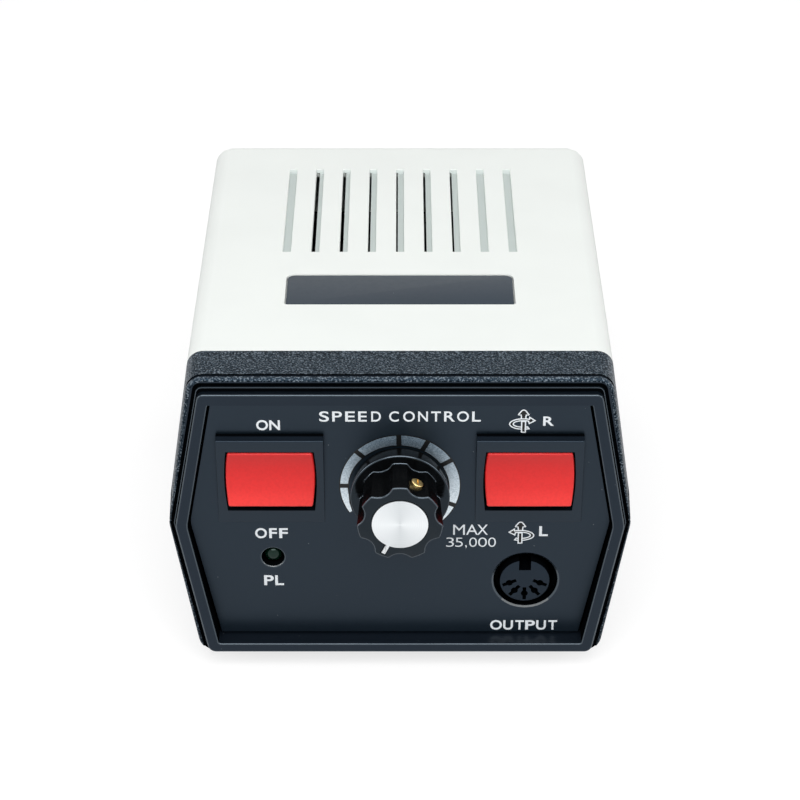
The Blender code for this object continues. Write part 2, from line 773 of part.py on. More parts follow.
def front_bezel():
    """One ring of outlines carried from the rim's face round the outside and back inside."""
    groove = BEZEL_SET_BACK + BEZEL_GROOVE
    seam = SEAM_DEPTH - FIT
    back = SEAM_DEPTH + TONGUE
    rim = rim_corners()
    ledge_back = panel_rear(POCKET_LOW) + FIT + LEDGE_THICK

    slant = math.sin(math.pi / 4)

    def front_edge(by):
        return case_outline(BEZEL_DRAFT + by, BEZEL_BASE_SHARE)

    def seat(z):
        return panel_rear(z) + FIT

    rings = [
        at_depth(hexagon(rim, RIM_EDGE, RIM_BASE_R, RIM_TOP_R), 0),
        at_depth(hexagon(rim, 0, RIM_BASE_R, RIM_TOP_R), RIM_EDGE),
        at_depth(hexagon(rim, 0, RIM_BASE_R, RIM_TOP_R), groove),
        at_depth(front_edge(BEZEL_BEAD + GROOVE_LEAN), groove),
        at_depth(front_edge(BEZEL_BEAD), BEZEL_SET_BACK),
        at_depth(front_edge(BEZEL_BEAD * (1 - slant)), BEZEL_SET_BACK + BEZEL_BEAD * (1 - slant)),
        at_depth(front_edge(0), BEZEL_SET_BACK + BEZEL_BEAD),
        at_depth(case_outline(0), seam),
        at_depth(case_outline(WALL + FIT), seam),
        at_depth(case_outline(WALL + FIT), back),
        at_depth(case_outline(WALL + FIT + TONGUE_WALL), back),
        at_depth(case_outline(WALL + FIT + TONGUE_WALL), ledge_back),
        at_depth(pocket_outline(LEDGE), ledge_back),
        at_depth(pocket_outline(LEDGE), seat),
        at_depth(pocket_outline(), seat),
        at_depth(pocket_outline(), 0),
    ]
    finished("front_bezel", lofted(rings, closed=True), GRAINED_BLACK)


# Front panel with what it carries

def pad_plane(z):
    """Depth of a switch pad's face, proud of the panel at its top."""
    share = (z - PAD_LOW) / PAD_TALL
    return panel_front(z) - PAD_PROUD_FOOT - (PAD_PROUD_TOP - PAD_PROUD_FOOT) * share


def pad_lean():
    return math.atan2(pad_plane(PAD_LOW) - pad_plane(PAD_HIGH), PAD_TALL)


def barrel_outline(gap_side, gap_end):
    """Outline of a rocker's opening, wider at the middle than at the ends."""
    points = []
    for k in range(ROCKER_STATIONS + 1):
        share = 2 * k / ROCKER_STATIONS - 1
        half = ROCKER_HALF_MID - (ROCKER_HALF_MID - ROCKER_HALF_END) * share * share
        points.append((half + gap_side, share * (ROCKER_HALF_TALL + gap_end)))
    return points + [(-x, v) for x, v in reversed(points)]


def front_panel(frame, pivots):
    outline = pocket_outline(FIT)
    plate = lofted([at_depth(outline, panel_front), at_depth(outline, panel_rear)])
    panel = finished("front_panel", plate, SLATE)
    pads = bmesh.new()
    for side in (-1, 1):
        pad = rectangle(PAD_WIDE / 2, PAD_LOW, PAD_HIGH, side * switch_x())
        loft(pads, [at_depth(pad, pad_plane), at_depth(pad, lambda z: panel_front(z) + OVERLAP)])
    join(panel, finished("switch_pads", pads))
    bosses = drums(BOSS_R, -PANEL_THICK - BOSS_TALL, -PANEL_THICK + OVERLAP, socket_screws())
    join(panel, finished("socket_bosses", bosses, parent=frame))
    deep, shallow = -PANEL_THICK - BOSS_TALL - OVERRUN, -PANEL_THICK - OVERLAP
    pilots = drums(M3_R / 2, deep, shallow, socket_screws())
    cut(panel, finished("cut_boss_pilots", pilots, parent=frame))
    for k, pivot in enumerate(pivots):
        opening = barrel_outline(ROCKER_GAP_SIDE, ROCKER_GAP_END)
        near, far = PIVOT_DEEP + OVERRUN, -OVERRUN
        rings = [[(x, v, w) for x, v in opening] for w in (far, near)]
        cut(panel, finished(f"cut_rocker_{k}", lofted(rings), parent=pivot))
    holes = [
        ("cut_pot_hole", BUSHING_R + FIT, (0, KNOB_UP)),
        ("cut_lamp_hole", LAMP_HOLE_R, (-switch_x(), LAMP_UP)),
        ("cut_socket_hole", SOCKET_HOLE_R, (switch_x(), SOCKET_UP)),
    ]
    for name, radius, place in holes:
        hole = turned([(radius, -PANEL_THICK - OVERRUN), (radius, OVERRUN)])
        cut(panel, finished(name, hole, parent=frame, place=on_panel(*place)))


def nameplate():
    top = CASE_HIGH - PLATE_SUNK
    rings = [[(x, y, z) for x, y in plate_outline(0)] for z in (top - PLATE_THICK, top)]
    finished("nameplate", lofted(rings), PLATE_SLATE)


def rocker(name, pivot, rest):
    """A red paddle with a hollow face, at rest with its upper edge pressed in."""
    stations = []
    for k in range(ROCKER_STATIONS + 1):
        share = 2 * k / ROCKER_STATIONS - 1
        half = ROCKER_HALF_MID - (ROCKER_HALF_MID - ROCKER_HALF_END) * share * share
        face = ROCKER_HIGH - ROCKER_HOLLOW * (1 - share * share)
        back = -ROCKER_HUB + (ROCKER_HIGH - ROCKER_RIM + ROCKER_HUB) * abs(share)
        v = share * ROCKER_HALF_TALL
        stations.append([(-half, v, back), (half, v, back), (half, v, face), (-half, v, face)])
    paddle = finished(name, lofted(stations), RED, pivot, turn=(-rest, 0, 0))
    reach = ROCKER_HALF_MID + PIVOT_REACH
    pin = turned([(PIVOT_R, -reach), (PIVOT_R, reach)], SMALL_ROUND)
    join(paddle, finished(name + "_pin", pin, parent=paddle, turn=(0, math.pi / 2, 0)))


def switch_body(name, frame, side, pivot):
    """An open box behind the panel that holds the rocker's pin."""
    x, v, _ = on_panel(side * switch_x(), SWITCH_UP)
    front = -PANEL_THICK - FIT
    body = finished(
        name,
        boxes(((x - SWITCH_HALF_WIDE, v - SWITCH_HALF_TALL, front - SWITCH_DEEP),
               (x + SWITCH_HALF_WIDE, v + SWITCH_HALF_TALL, front))),
        MATT_BLACK,
        frame,
    )
    room_x, room_v = ROCKER_HALF_MID + ROCKER_GAP_SIDE, ROCKER_HALF_TALL + ROCKER_GAP_END + FIT
    room = boxes(((x - room_x, v - room_v, front - SWITCH_DEEP + SWITCH_FLOOR),
                  (x + room_x, v + room_v, front + OVERRUN)))
    cut(body, finished("cut_" + name, room, parent=frame))
    reach = SWITCH_HALF_WIDE + OVERRUN
    hole = turned([(PIVOT_R + FIT, -reach), (PIVOT_R + FIT, reach)], SMALL_ROUND)
    cut(body, finished("cut_" + name + "_pin", hole, parent=pivot, turn=(0, math.pi / 2, 0)))


def lobed_ring(tip, height):
    """A ring of seven broad lobes with a scooped flute between each pair."""
    points = []
    pitch = 2 * math.pi / KNOB_LOBES
    for lobe in range(KNOB_LOBES):
        middle = math.pi / 2 + lobe * pitch
        for k in range(LOBE_POINTS):
            angle = middle + pitch * LOBE_SHARE * (k / (LOBE_POINTS - 1) - 1 / 2)
            points.append((tip * math.cos(angle), tip * math.sin(angle), height))
        for k in range(FLUTE_POINTS):
            share = (k + 1) / (FLUTE_POINTS + 1)
            angle = middle + pitch * (LOBE_SHARE / 2 + (1 - LOBE_SHARE) * share)
            radius = tip - FLUTE_DEEP * math.sin(math.pi * share)
            points.append((radius * math.cos(angle), radius * math.sin(angle), height))
    return points


def radial_drum(radius, near, far, angle, height):
    """A drum along a radius of the knob, as rings and in the knob's own place."""
    turn = Matrix.Rotation(angle, 4, "Z") @ Matrix.Rotation(math.pi / 2, 4, "Y")
    rings = []
    for reach in (near, far):
        ring = [turn @ Vector((x, y, reach)) for x, y, _ in circle(radius, 0, SMALL_ROUND)]
        rings.append([(p.x, p.y, p.z + height) for p in ring])
    return lofted(rings)


def grub_angle():
    return math.pi / 2 - math.pi / KNOB_LOBES


def knob(axis):
    skirt = KNOB_LIFT + SKIRT_TALL
    sides = KNOB_LOBES * (LOBE_POINTS + FLUTE_POINTS)
    turn = Matrix.Rotation(math.pi / 2 - math.pi * LOBE_SHARE / KNOB_LOBES, 4, "Z")

    def skirt_ring(radius, height):
        return [tuple(turn @ Vector(point)) for point in circle(radius, height, sides)]

    rings = [
        skirt_ring(SKIRT_R, KNOB_LIFT),
        skirt_ring(SKIRT_R, skirt),
        skirt_ring(SKIRT_R - SKIRT_BEVEL, skirt + SKIRT_BEVEL),
        lobed_ring(KNOB_ROOT_R, skirt + SKIRT_BEVEL),
        lobed_ring(KNOB_NOSE_R, KNOB_TALL - KNOB_BEVEL),
        lobed_ring(KNOB_NOSE_R - KNOB_BEVEL, KNOB_TALL),
    ]
    body = finished("speed_knob_body", lofted(rings), GLOSS_BLACK, axis)
    seat = KNOB_TALL + CAP_PROUD - CAP_THICK - FIT
    reach = KNOB_NOSE_R + OVERRUN
    cutters = [
        ("cut_nut_room", turned([(NUT_ROOM_R, -OVERRUN), (NUT_ROOM_R, KNOB_LIFT + NUT_ROOM_TALL)])),
        ("cut_knob_bore", turned([(SHAFT_R + FIT, 0), (SHAFT_R + FIT, shaft_top() + FIT)], SMALL_ROUND)),
        ("cut_cap_seat", lofted([cap_ring(height, FIT) for height in (seat, FACE_HIGH + OVERRUN)])),
        ("cut_grub_hole", radial_drum(GRUB_R + SCREW_FIT, SHAFT_R, reach, grub_angle(), GRUB_UP)),
    ]
    for name, shape in cutters:
        cut(body, finished(name, shape, parent=axis))
    cap = [cap_ring(height, 0) for height in (seat + FIT, FACE_HIGH)]
    finished("speed_knob_cap", lofted(cap), SPUN_METAL, axis)
    flute = KNOB_NOSE_R - FLUTE_DEEP
    grub = radial_drum(GRUB_R, SHAFT_R + FIT, flute, grub_angle(), GRUB_UP)
    finished("knob_grub_screw", grub, BRASS, axis)


def cap_ring(height, margin):
    """The round cap with its pointer bar, as one outline."""
    half = math.asin((POINTER_WIDE / 2 + margin) / (CAP_R + margin))
    aim = math.pi / 2 - POINTER_FROM_TOP
    points = []
    for k in range(ROUND + 1):
        angle = aim + half + (2 * math.pi - 2 * half) * k / ROUND
        points.append(((CAP_R + margin) * math.cos(angle), (CAP_R + margin) * math.sin(angle), height))
    tip = CAP_R + POINTER_LONG + margin
    for side in (-1, 1):
        along, across = Vector((math.cos(aim), math.sin(aim))), Vector((-math.sin(aim), math.cos(aim)))
        corner = along * tip + across * side * (POINTER_WIDE / 2 + margin)
        points.append((corner.x, corner.y, height))
    return points


def shaft_top():
    return KNOB_TALL + CAP_PROUD - CAP_THICK - FIT - FLUTE_DEEP


def potentiometer(axis):
    front = -PANEL_THICK - FIT
    rear = front - POT_DEEP
    bore = SHAFT_R + FIT
    body = [
        (bore, rear + POT_WALL),
        (bore, BUSHING_PROUD),
        (BUSHING_R, BUSHING_PROUD),
        (BUSHING_R, front),
        (POT_R, front),
        (POT_R, rear),
    ]
    finished("pot_body", turned(body), BRIGHT_STEEL, axis)
    top = shaft_top()
    shaft = [(SHAFT_R, rear + POT_WALL + FIT), (SHAFT_R, top)]
    finished("pot_shaft", turned(shaft, SMALL_ROUND), ALUMINIUM, axis)
    ring_nut("pot_nut", POT_NUT_R, BUSHING_R + FIT, FIT, FIT + POT_NUT_THICK, axis)


def ring_nut(name, outer_r, hole_r, low, high, parent):
    """A six-sided nut, its round hole cut through it."""
    nut = lofted([circle(outer_r, low, NUT_SIDES), circle(outer_r, high, NUT_SIDES)])
    obj = finished(name, nut, BRIGHT_STEEL, parent)
    hole = turned([(hole_r, low - OVERRUN), (hole_r, high + OVERRUN)])
    cut(obj, finished("cut_" + name, hole, parent=parent))


def pilot_lamp(frame):
    place = on_panel(-switch_x(), LAMP_UP)
    dome = -LENS_SUNK
    lens = [(LENS_R, dome - LENS_LONG), (LENS_R, dome - LENS_R)]
    for step in range(1, ARC_STEPS):
        angle = step * math.pi / 2 / ARC_STEPS
        lens.append((LENS_R * math.cos(angle), dome - LENS_R + LENS_R * math.sin(angle)))
    finished("led_lens", turned(lens, SMALL_ROUND), LENS_GREEN, frame, place)
    front = -PANEL_THICK - FIT
    holder = [
        (LENS_R + FIT, front),
        (HOLDER_R, front),
        (HOLDER_R, front - HOLDER_LONG),
        (LENS_R + FIT, front - HOLDER_LONG),
    ]
    finished("led_holder", turned(holder, SMALL_ROUND, closed=True), MATT_BLACK, frame, place)


def socket_screws():
    x, v, _ = on_panel(switch_x(), SOCKET_UP)
    return [(x + side * FLANGE_SCREW_X, v + side * (FLANGE_HALF_TALL - BOSS_R)) for side in (-1, 1)]


def output_socket(frame):
    place = on_panel(switch_x(), SOCKET_UP)
    floor = -SHELL_SUNK - SHELL_DEEP
    shell = [
        (SHELL_R - SHELL_WALL, floor),
        (SHELL_R - SHELL_WALL, -SHELL_SUNK),
        (SHELL_R, -SHELL_SUNK),
        (SHELL_R, floor - SHELL_FLOOR),
    ]
    obj = finished("output_socket_shell", turned(shell), MATT_BLACK, frame, place)
    top = -PANEL_THICK - BOSS_TALL - FIT
    flange = boxes(((-FLANGE_HALF_WIDE, -FLANGE_HALF_TALL, top - FLANGE_THICK),
                    (FLANGE_HALF_WIDE, FLANGE_HALF_TALL, top)))
    plate = finished("socket_flange", flange, parent=frame, place=place)
    middle_r = SHELL_R - SHELL_WALL / 2
    inner = turned([(middle_r, top - FLANGE_THICK - OVERRUN), (middle_r, top + OVERRUN)])
    cut(plate, finished("cut_flange_bore", inner, parent=frame, place=place))
    join(obj, plate)
    holes = drums(M3_R / 2 + SCREW_FIT, top - FLANGE_THICK - OVERRUN, top + OVERRUN, socket_screws())
    cut(obj, finished("cut_flange_screws", holes, parent=frame))
    insert = turned([(INSERT_R, floor + FIT), (INSERT_R, -INSERT_SUNK)])
    core = finished("output_socket_insert", insert, MATT_BLACK, frame, place)
    key = boxes(((-KEY_WIDE / 2, INSERT_R - KEY_DEEP, floor - OVERRUN),
                 (KEY_WIDE / 2, INSERT_R + OVERRUN, OVERRUN)))
    cut(core, finished("cut_key", key, parent=frame, place=place))
    spots = []
    for k in range(CONTACTS):
        angle = -math.pi / 2 + (k - (CONTACTS - 1) / 2) * CONTACT_STEP
        spots.append((CONTACT_RING_R * math.cos(angle), CONTACT_RING_R * math.sin(angle)))
    holes = drums(CONTACT_R, -CONTACT_DEEP, OVERRUN, spots, CONTACT_SIDES)
    cut(core, finished("cut_contacts", holes, parent=frame, place=place))
    head = top - FLANGE_THICK - FIT
    for k, (x, v) in enumerate(socket_screws()):
        long = head - top + BOSS_TALL
        screw(f"socket_screw_{k + 1}", M3_R / 2, M3_R, M3_R / 2, long, frame, (x, v, head))


def screw(name, radius, head_r, head, long, parent=None, place=(0, 0, 0), turn=(0, 0, 0)):
    """A screw whose head hangs below its place and whose thread runs up from it."""
    profile = [(head_r - head / 4, -head), (head_r, -head / 2), (head_r, 0), (radius, 0), (radius, long)]
    return finished(name, turned(profile, SCREW_SIDES), BRIGHT_STEEL, parent, place, turn)


# Feet and case screws

def feet():
    for k, (x, y) in enumerate(foot_places()):
        top = CASE_LOW - FIT
        neck = CASE_LOW + WALL + FIT
        profile = [
            (FOOT_TIP_R, 0),
            (FOOT_R, top),
            (SPIGOT_R, top),
            (SPIGOT_R, neck + SPIGOT_HEAD),
        ]
        finished(f"rubber_foot_{k + 1}", turned(profile, SMALL_ROUND), RUBBER_BLACK, place=(x, y, 0))


def case_screws():
    seat = CASE_RIDGE - FIT - TOWER_CAP - FIT
    for k, (x, y) in enumerate(tower_places()):
        screw(f"case_screw_{k + 1}", M3_R, M3_HEAD_R, M3_HEAD, CASE_SCREW_LONG, place=(x, y, seat))


# Circuit board

def board_box():
    near = RIM_Y + SEAM_DEPTH + BOARD_FROM_SEAM
    return near, near + BOARD_DEEP


def board_corners():
    near, far = board_box()
    x = BOARD_HALF_WIDE - PILLAR_IN
    return [(-x, near + PILLAR_IN), (x, near + PILLAR_IN), (x, far - PILLAR_IN), (-x, far - PILLAR_IN)]


def circuit_board():
    near, far = board_box()
    top = BOARD_UP + BOARD_THICK
    slab = boxes(((-BOARD_HALF_WIDE, near, BOARD_UP), (BOARD_HALF_WIDE, far, top)))
    board = finished("circuit_board", slab, BOARD_GREEN)
    holes = drums(M3_R + SCREW_FIT, BOARD_UP - OVERRUN, top + OVERRUN, board_corners())
    cut(board, finished("cut_board_holes", holes))
    for k, (x, y) in enumerate(board_corners()[::2]):
        screw(f"board_screw_{k + 1}", M3_R, M3_HEAD_R, M3_HEAD, BOARD_THICK + SHORT_SCREW_LONG - FIT,
              place=(x, y, top + FIT), turn=(math.pi, 0, 0))
    stand = top + FIT
    can = [
        (CAPACITOR_R - CAPACITOR_EDGE, 0),
        (CAPACITOR_R, CAPACITOR_EDGE),
        (CAPACITOR_R, CAPACITOR_TALL - CAPACITOR_EDGE),
        (CAPACITOR_R - CAPACITOR_EDGE, CAPACITOR_TALL),
    ]
    finished("filter_capacitor", turned(can), CAN_BLUE, place=(CAPACITOR_X, near + CAPACITOR_IN, stand))
    half = RECTIFIER_WIDE / 2
    y = near + RECTIFIER_IN
    block = boxes(((RECTIFIER_X - half, y, stand + LEG_PITCH),
                   (RECTIFIER_X + half, y + RECTIFIER_DEEP, stand + RECTIFIER_TALL)))
    rectifier = finished("bridge_rectifier", block, MATT_BLACK)
    legs = bmesh.new()
    for k in range(RECTIFIER_LEGS):
        x = RECTIFIER_X + (k - (RECTIFIER_LEGS - 1) / 2) * 2 * LEG_PITCH - LEG_WIDE / 2
        middle = y + RECTIFIER_DEEP / 2
        near_side, far_side = middle - LEG_WIDE / 2, middle + LEG_WIDE / 2
        add_box(legs, (x, near_side, stand), (x + LEG_WIDE, far_side, stand + LEG_PITCH + OVERLAP))
    join(rectifier, finished("rectifier_legs", legs))
    heat_sink(near + SINK_IN, stand)


def heat_sink(y, stand):
    """A finned block that stands on the board, with the power transistor screwed to its back."""
    points = [(SINK_WIDE, 0)]
    pitch = (SINK_WIDE - SINK_FIN_THICK) / (SINK_FINS - 1)
    for k in range(SINK_FINS):
        left = SINK_WIDE - SINK_FIN_THICK - k * pitch
        tip = SINK_BACK_THICK + SINK_FIN_LONG
        points += [(left + SINK_FIN_THICK, tip), (left, tip)]
        if k < SINK_FINS - 1:
            points += [(left, SINK_BACK_THICK), (left - pitch + SINK_FIN_THICK, SINK_BACK_THICK)]
    points.append((0, 0))
    x0 = SINK_X - SINK_WIDE / 2
    outline = [(x0 + x, y + depth) for x, depth in points]
    rings = [[(x, d, z) for x, d in outline] for z in (stand, stand + SINK_TALL)]
    sink = finished("heat_sink", lofted(rings), ALUMINIUM)
    hole_z = stand + TO220_UP + TO220_TALL - TO220_HOLE_DROP
    spot = [(SINK_X, -hole_z)]
    bore = drums(M3_R + SCREW_FIT, y - OVERRUN, y + SINK_BACK_THICK + OVERRUN, spot)
    cut(sink, finished("cut_sink_hole", bore, turn=(-math.pi / 2, 0, 0)))
    back = y - FIT
    low, half = stand + TO220_UP, TO220_WIDE / 2
    tab = boxes(((SINK_X - half, back - TO220_TAB, low), (SINK_X + half, back, low + TO220_TALL)))
    device = finished("power_transistor", tab, MATT_BLACK)
    body = boxes(((SINK_X - half, back - TO220_THICK, low),
                  (SINK_X + half, back - TO220_TAB / 2, low + TO220_BODY)))
    join(device, finished("transistor_body", body))
    legs = bmesh.new()
    for k in (-1, 0, 1):
        x = SINK_X + k * LEG_PITCH - LEG_WIDE / 2
        middle = back - TO220_THICK / 2
        add_box(legs, (x, middle - LEG_WIDE, stand), (x + LEG_WIDE, middle, low + OVERLAP))
    join(device, finished("transistor_legs", legs))
    bore = drums(M3_R + SCREW_FIT, back - TO220_THICK, back + OVERRUN, spot)
    cut(device, finished("cut_tab_hole", bore, turn=(-math.pi / 2, 0, 0)))
    screw("transistor_screw", M3_R, M3_HEAD_R, M3_HEAD, TO220_TAB + SINK_BACK_THICK + FIT + M3_HEAD,
          place=(SINK_X, back - TO220_TAB - FIT, hole_z), turn=(-math.pi / 2, 0, 0))


# Transformer

def strap_outer():
    return CORE_WIDE / 2 + FIT + STRAP


def strap_screws():
    x = strap_outer() + STRAP_FOOT / 2
    return [(side * x, RIM_Y + CORE_DEPTH) for side in (-1, 1)]


def transformer():
    middle = RIM_Y + CORE_DEPTH
    low = PAD_UP + FIT
    high = low + CORE_TALL
    half, stack = CORE_WIDE / 2, CORE_STACK / 2
    block = boxes(((-half, middle - stack, low), (half, middle + stack, high)))
    core = finished("transformer_core", block, CORE_GREY)
    windows = bmesh.new()
    for side in (-1, 1):
        near, far = sorted((side * CORE_LIMB, side * (half - CORE_LIMB)))
        add_box(windows, (near, middle - stack - OVERRUN, low + CORE_LIMB),
                (far, middle + stack + OVERRUN, high - CORE_LIMB))
    cut(core, finished("cut_core_windows", windows))
    coil_low, coil_high = low + CORE_LIMB + FIT, high - CORE_LIMB - FIT
    hole = (CORE_LIMB + FIT, stack + FIT)
    tube = (hole[0] + BOBBIN_WALL, hole[1] + BOBBIN_WALL)
    flange = (half - CORE_LIMB - FIT, stack + COIL_PROUD)

    def ring(size, z, by=0):
        corners = rectangle(size[0] - by, middle - size[1] + by, middle + size[1] - by)
        return [(x, y, z) for x, y in corners]

    shoulder_low, shoulder_high = coil_low + BOBBIN_FLANGE, coil_high - BOBBIN_FLANGE
    bobbin = [
        ring(hole, coil_low),
        ring(flange, coil_low),
        ring(flange, shoulder_low),
        ring(tube, shoulder_low),
        ring(tube, shoulder_high),
        ring(flange, shoulder_high),
        ring(flange, coil_high),
        ring(hole, coil_high),
    ]
    finished("transformer_bobbin", lofted(bobbin, closed=True), BOBBIN_WHITE)

    def wound(size, by, z):
        corners = rectangle(size[0] + by, middle - size[1] - by, middle + size[1] + by)
        return [(x, y, z) for x, y in rounded(corners, [COIL_R] * len(corners))]

    coil = [
        wound(tube, FIT, shoulder_low + FIT),
        wound(flange, -COIL_SLACK, shoulder_low + FIT),
        wound(flange, -COIL_SLACK, shoulder_high - FIT),
        wound(tube, FIT, shoulder_high - FIT),
    ]
    finished("transformer_winding", lofted(coil, closed=True), COPPER)
    bracket(middle, high)


def bracket(middle, high):
    """A strap over the core, down both sides and out to a foot on each."""
    outer, inner = strap_outer(), strap_outer() - STRAP
    top, foot = high + FIT + STRAP, PAD_UP + FIT
    out = outer + STRAP_FOOT
    path = [
        (inner, foot), (out, foot), (out, foot + STRAP), (outer, foot + STRAP), (outer, top),
        (-outer, top), (-outer, foot + STRAP), (-out, foot + STRAP), (-out, foot), (-inner, foot),
        (-inner, top - STRAP), (inner, top - STRAP),
    ]
    rings = [[(x, y, z) for x, z in path] for y in (middle - STRAP_DEEP / 2, middle + STRAP_DEEP / 2)]
    strap = finished("transformer_bracket", lofted(rings), BRIGHT_STEEL)
    holes = drums(M3_R + SCREW_FIT, foot - OVERRUN, foot + STRAP + OVERRUN, strap_screws())
    cut(strap, finished("cut_strap_holes", holes))
    for k, (x, y) in enumerate(strap_screws()):
        screw(f"transformer_screw_{k + 1}", M3_R, M3_HEAD_R, M3_HEAD, STRAP + FIT + WALL,
              place=(x, y, foot + STRAP + FIT), turn=(math.pi, 0, 0))


# Rear panel. Its fittings are modelled about an axis that looks back along +Y.

def rear_axis(name, x, up):
    return axis_empty(name, (x, RIM_Y + REAR_FACE, up), (-math.pi / 2, 0, 0))


def box_rings(half_wide, half_tall, heights):
    outline = rectangle(half_wide, -half_tall, half_tall)
    return [[(x, v, z) for x, v in outline] for z in heights]


def rear_panel(inlet, fuse, jack, slide):
    outline = rectangle(rear_half(), REAR_LOW, REAR_HIGH)
    plate = [at_depth(outline, REAR_FACE - REAR_THICK), at_depth(outline, REAR_FACE)]
    panel = finished("rear_panel", lofted(plate), MATT_BLACK)
    near, far = REAR_FACE - REAR_THICK - OVERRUN, REAR_FACE + OVERRUN
    cut(panel, rear_drums("cut_rear_screws", M3_R + SCREW_FIT, near, far, rear_screw_places()))
    through = (-REAR_THICK - OVERRUN, OVERRUN)
    window = lofted(box_rings(INLET_HALF_WIDE + FIT, INLET_HALF_TALL + FIT, through))
    cut(panel, finished("cut_inlet_window", window, parent=inlet))
    holes = (("cut_fuse_hole", FUSE_BODY_R, fuse), ("cut_jack_hole", JACK_BUSHING_R, jack))
    for name, radius, axis in holes:
        cut(panel, finished(name, turned([(radius + FIT, z) for z in through]), parent=axis))
    gate = slider_gate()
    window = [[(x, v, z) for x, v in gate] for z in through]
    cut(panel, finished("cut_slide_window", lofted(window), parent=slide))
    for k, (x, z) in enumerate(rear_screw_places()):
        screw(f"rear_panel_screw_{k + 1}", M3_R, M3_HEAD_R, M3_HEAD, REAR_THICK + FIT + REAR_BOSS_LONG,
              place=(x, RIM_Y + REAR_FACE + FIT, z), turn=(math.pi / 2, 0, 0))


def mains_inlet(axis):
    cavity = (INLET_CAVITY_WIDE, INLET_CAVITY_TALL)
    flange = (INLET_FLANGE_WIDE, INLET_FLANGE_TALL)
    body = (INLET_HALF_WIDE, INLET_HALF_TALL)
    front = FIT + INLET_FLANGE
    floor = front - INLET_CAVITY_DEEP
    rings = box_rings(*cavity, (floor, front))
    rings += box_rings(*flange, (front, FIT))
    rings += box_rings(*body, (FIT, -INLET_DEEP))
    finished("mains_inlet", lofted(rings), MATT_BLACK, axis)
    blades = (("live", -1, BLADE_UP), ("earth", 0, EARTH_UP), ("neutral", 1, BLADE_UP))
    for name, side, up in blades:
        x, v = side * BLADE_PITCH, -up
        low, high = floor + FIT, floor + FIT + BLADE_LONG
        blade = boxes(((x - BLADE_WIDE / 2, v - BLADE_TALL / 2, low),
                       (x + BLADE_WIDE / 2, v + BLADE_TALL / 2, high)))
        finished("inlet_blade_" + name, blade, BRASS, axis)


def fuse_parts(axis):
    mouth = FIT + FUSE_FLANGE
    holder = [
        (FUSE_BORE_R, mouth - FUSE_BORE_LONG),
        (FUSE_BORE_R, mouth),
        (FUSE_FLANGE_R, mouth),
        (FUSE_FLANGE_R, FIT),
        (FUSE_BODY_R, FIT),
        (FUSE_BODY_R, -FUSE_BODY_LONG),
    ]
    finished("fuse_holder", turned(holder), MATT_BLACK, axis)
    head = mouth + FIT
    cap = [
        (FUSE_BORE_R - FIT, head - FUSE_STEM),
        (FUSE_BORE_R - FIT, head),
        (FUSE_HEAD_R, head),
        (FUSE_HEAD_R, head + FUSE_HEAD - KNOB_BEVEL),
        (FUSE_HEAD_R - KNOB_BEVEL, head + FUSE_HEAD),
    ]
    obj = finished("fuse_cap", turned(cap), MATT_BLACK, axis)
    tip = head + FUSE_HEAD
    slot = boxes(((-FUSE_HEAD_R - OVERRUN, -FUSE_SLOT / 2, tip - FUSE_SLOT_DEEP),
                  (FUSE_HEAD_R + OVERRUN, FUSE_SLOT / 2, tip + OVERRUN)))
    cut(obj, finished("cut_fuse_slot", slot, parent=axis))
    end = head - FUSE_STEM - FIT
    start = end - FUSE_LONG
    link = [
        (FUSE_R, start),
        (FUSE_R, start + FUSE_CAP_LENGTH),
        (FUSE_R - FUSE_NECK, start + FUSE_CAP_LENGTH),
        (FUSE_R - FUSE_NECK, end - FUSE_CAP_LENGTH),
        (FUSE_R, end - FUSE_CAP_LENGTH),
        (FUSE_R, end),
    ]
    finished("fuse_link", turned(link, SMALL_ROUND), GLASS_CLEAR, axis)


def pedal_socket(axis):
    body = [
        (JACK_BORE_R, JACK_PROUD - JACK_LONG),
        (JACK_BORE_R, JACK_PROUD),
        (JACK_BUSHING_R, JACK_PROUD),
        (JACK_BUSHING_R, -REAR_THICK - FIT),
        (JACK_BODY_R, -REAR_THICK - FIT),
        (JACK_BODY_R, -JACK_LONG),
    ]
    finished("pedal_socket", turned(body), MATT_BLACK, axis)
    ring_nut("pedal_socket_nut", JACK_NUT_R, JACK_BUSHING_R + FIT, FIT, FIT + JACK_NUT, axis)


def slider_gate():
    """The slider's window, from its rest at the left to its travel's end."""
    left, right = -SLIDER_KNOB_HALF - SLIDER_TRAVEL / 2 - FIT, SLIDER_KNOB_HALF + SLIDER_TRAVEL / 2 + FIT
    half = SLIDER_KNOB_HALF + FIT
    return [(left, -half), (right, -half), (right, half), (left, half)]


def selector(axis):
    front = -REAR_THICK - FIT
    room_x = SLIDER_BASE_HALF + SLIDER_TRAVEL / 2 + FIT
    room_v = SLIDE_HALF_TALL - SLIDE_WALL
    rings = box_rings(room_x, room_v, (front - FIT - SLIDER_BASE - FIT, front))
    rings += box_rings(SLIDE_HALF_WIDE, SLIDE_HALF_TALL, (front, front - SLIDE_DEEP))
    finished("selector_body", lofted(rings), BRIGHT_STEEL, axis)
    rest = -SLIDER_TRAVEL / 2
    base_v = room_v - FIT
    top = front - FIT
    base = box_rings(SLIDER_BASE_HALF, base_v, (top - SLIDER_BASE, top))
    knob_part = box_rings(SLIDER_KNOB_HALF, SLIDER_KNOB_HALF, (top, SLIDER_PROUD))
    finished("selector_slider", lofted(base + knob_part), MATT_BLACK, axis, place=(rest, 0, 0))


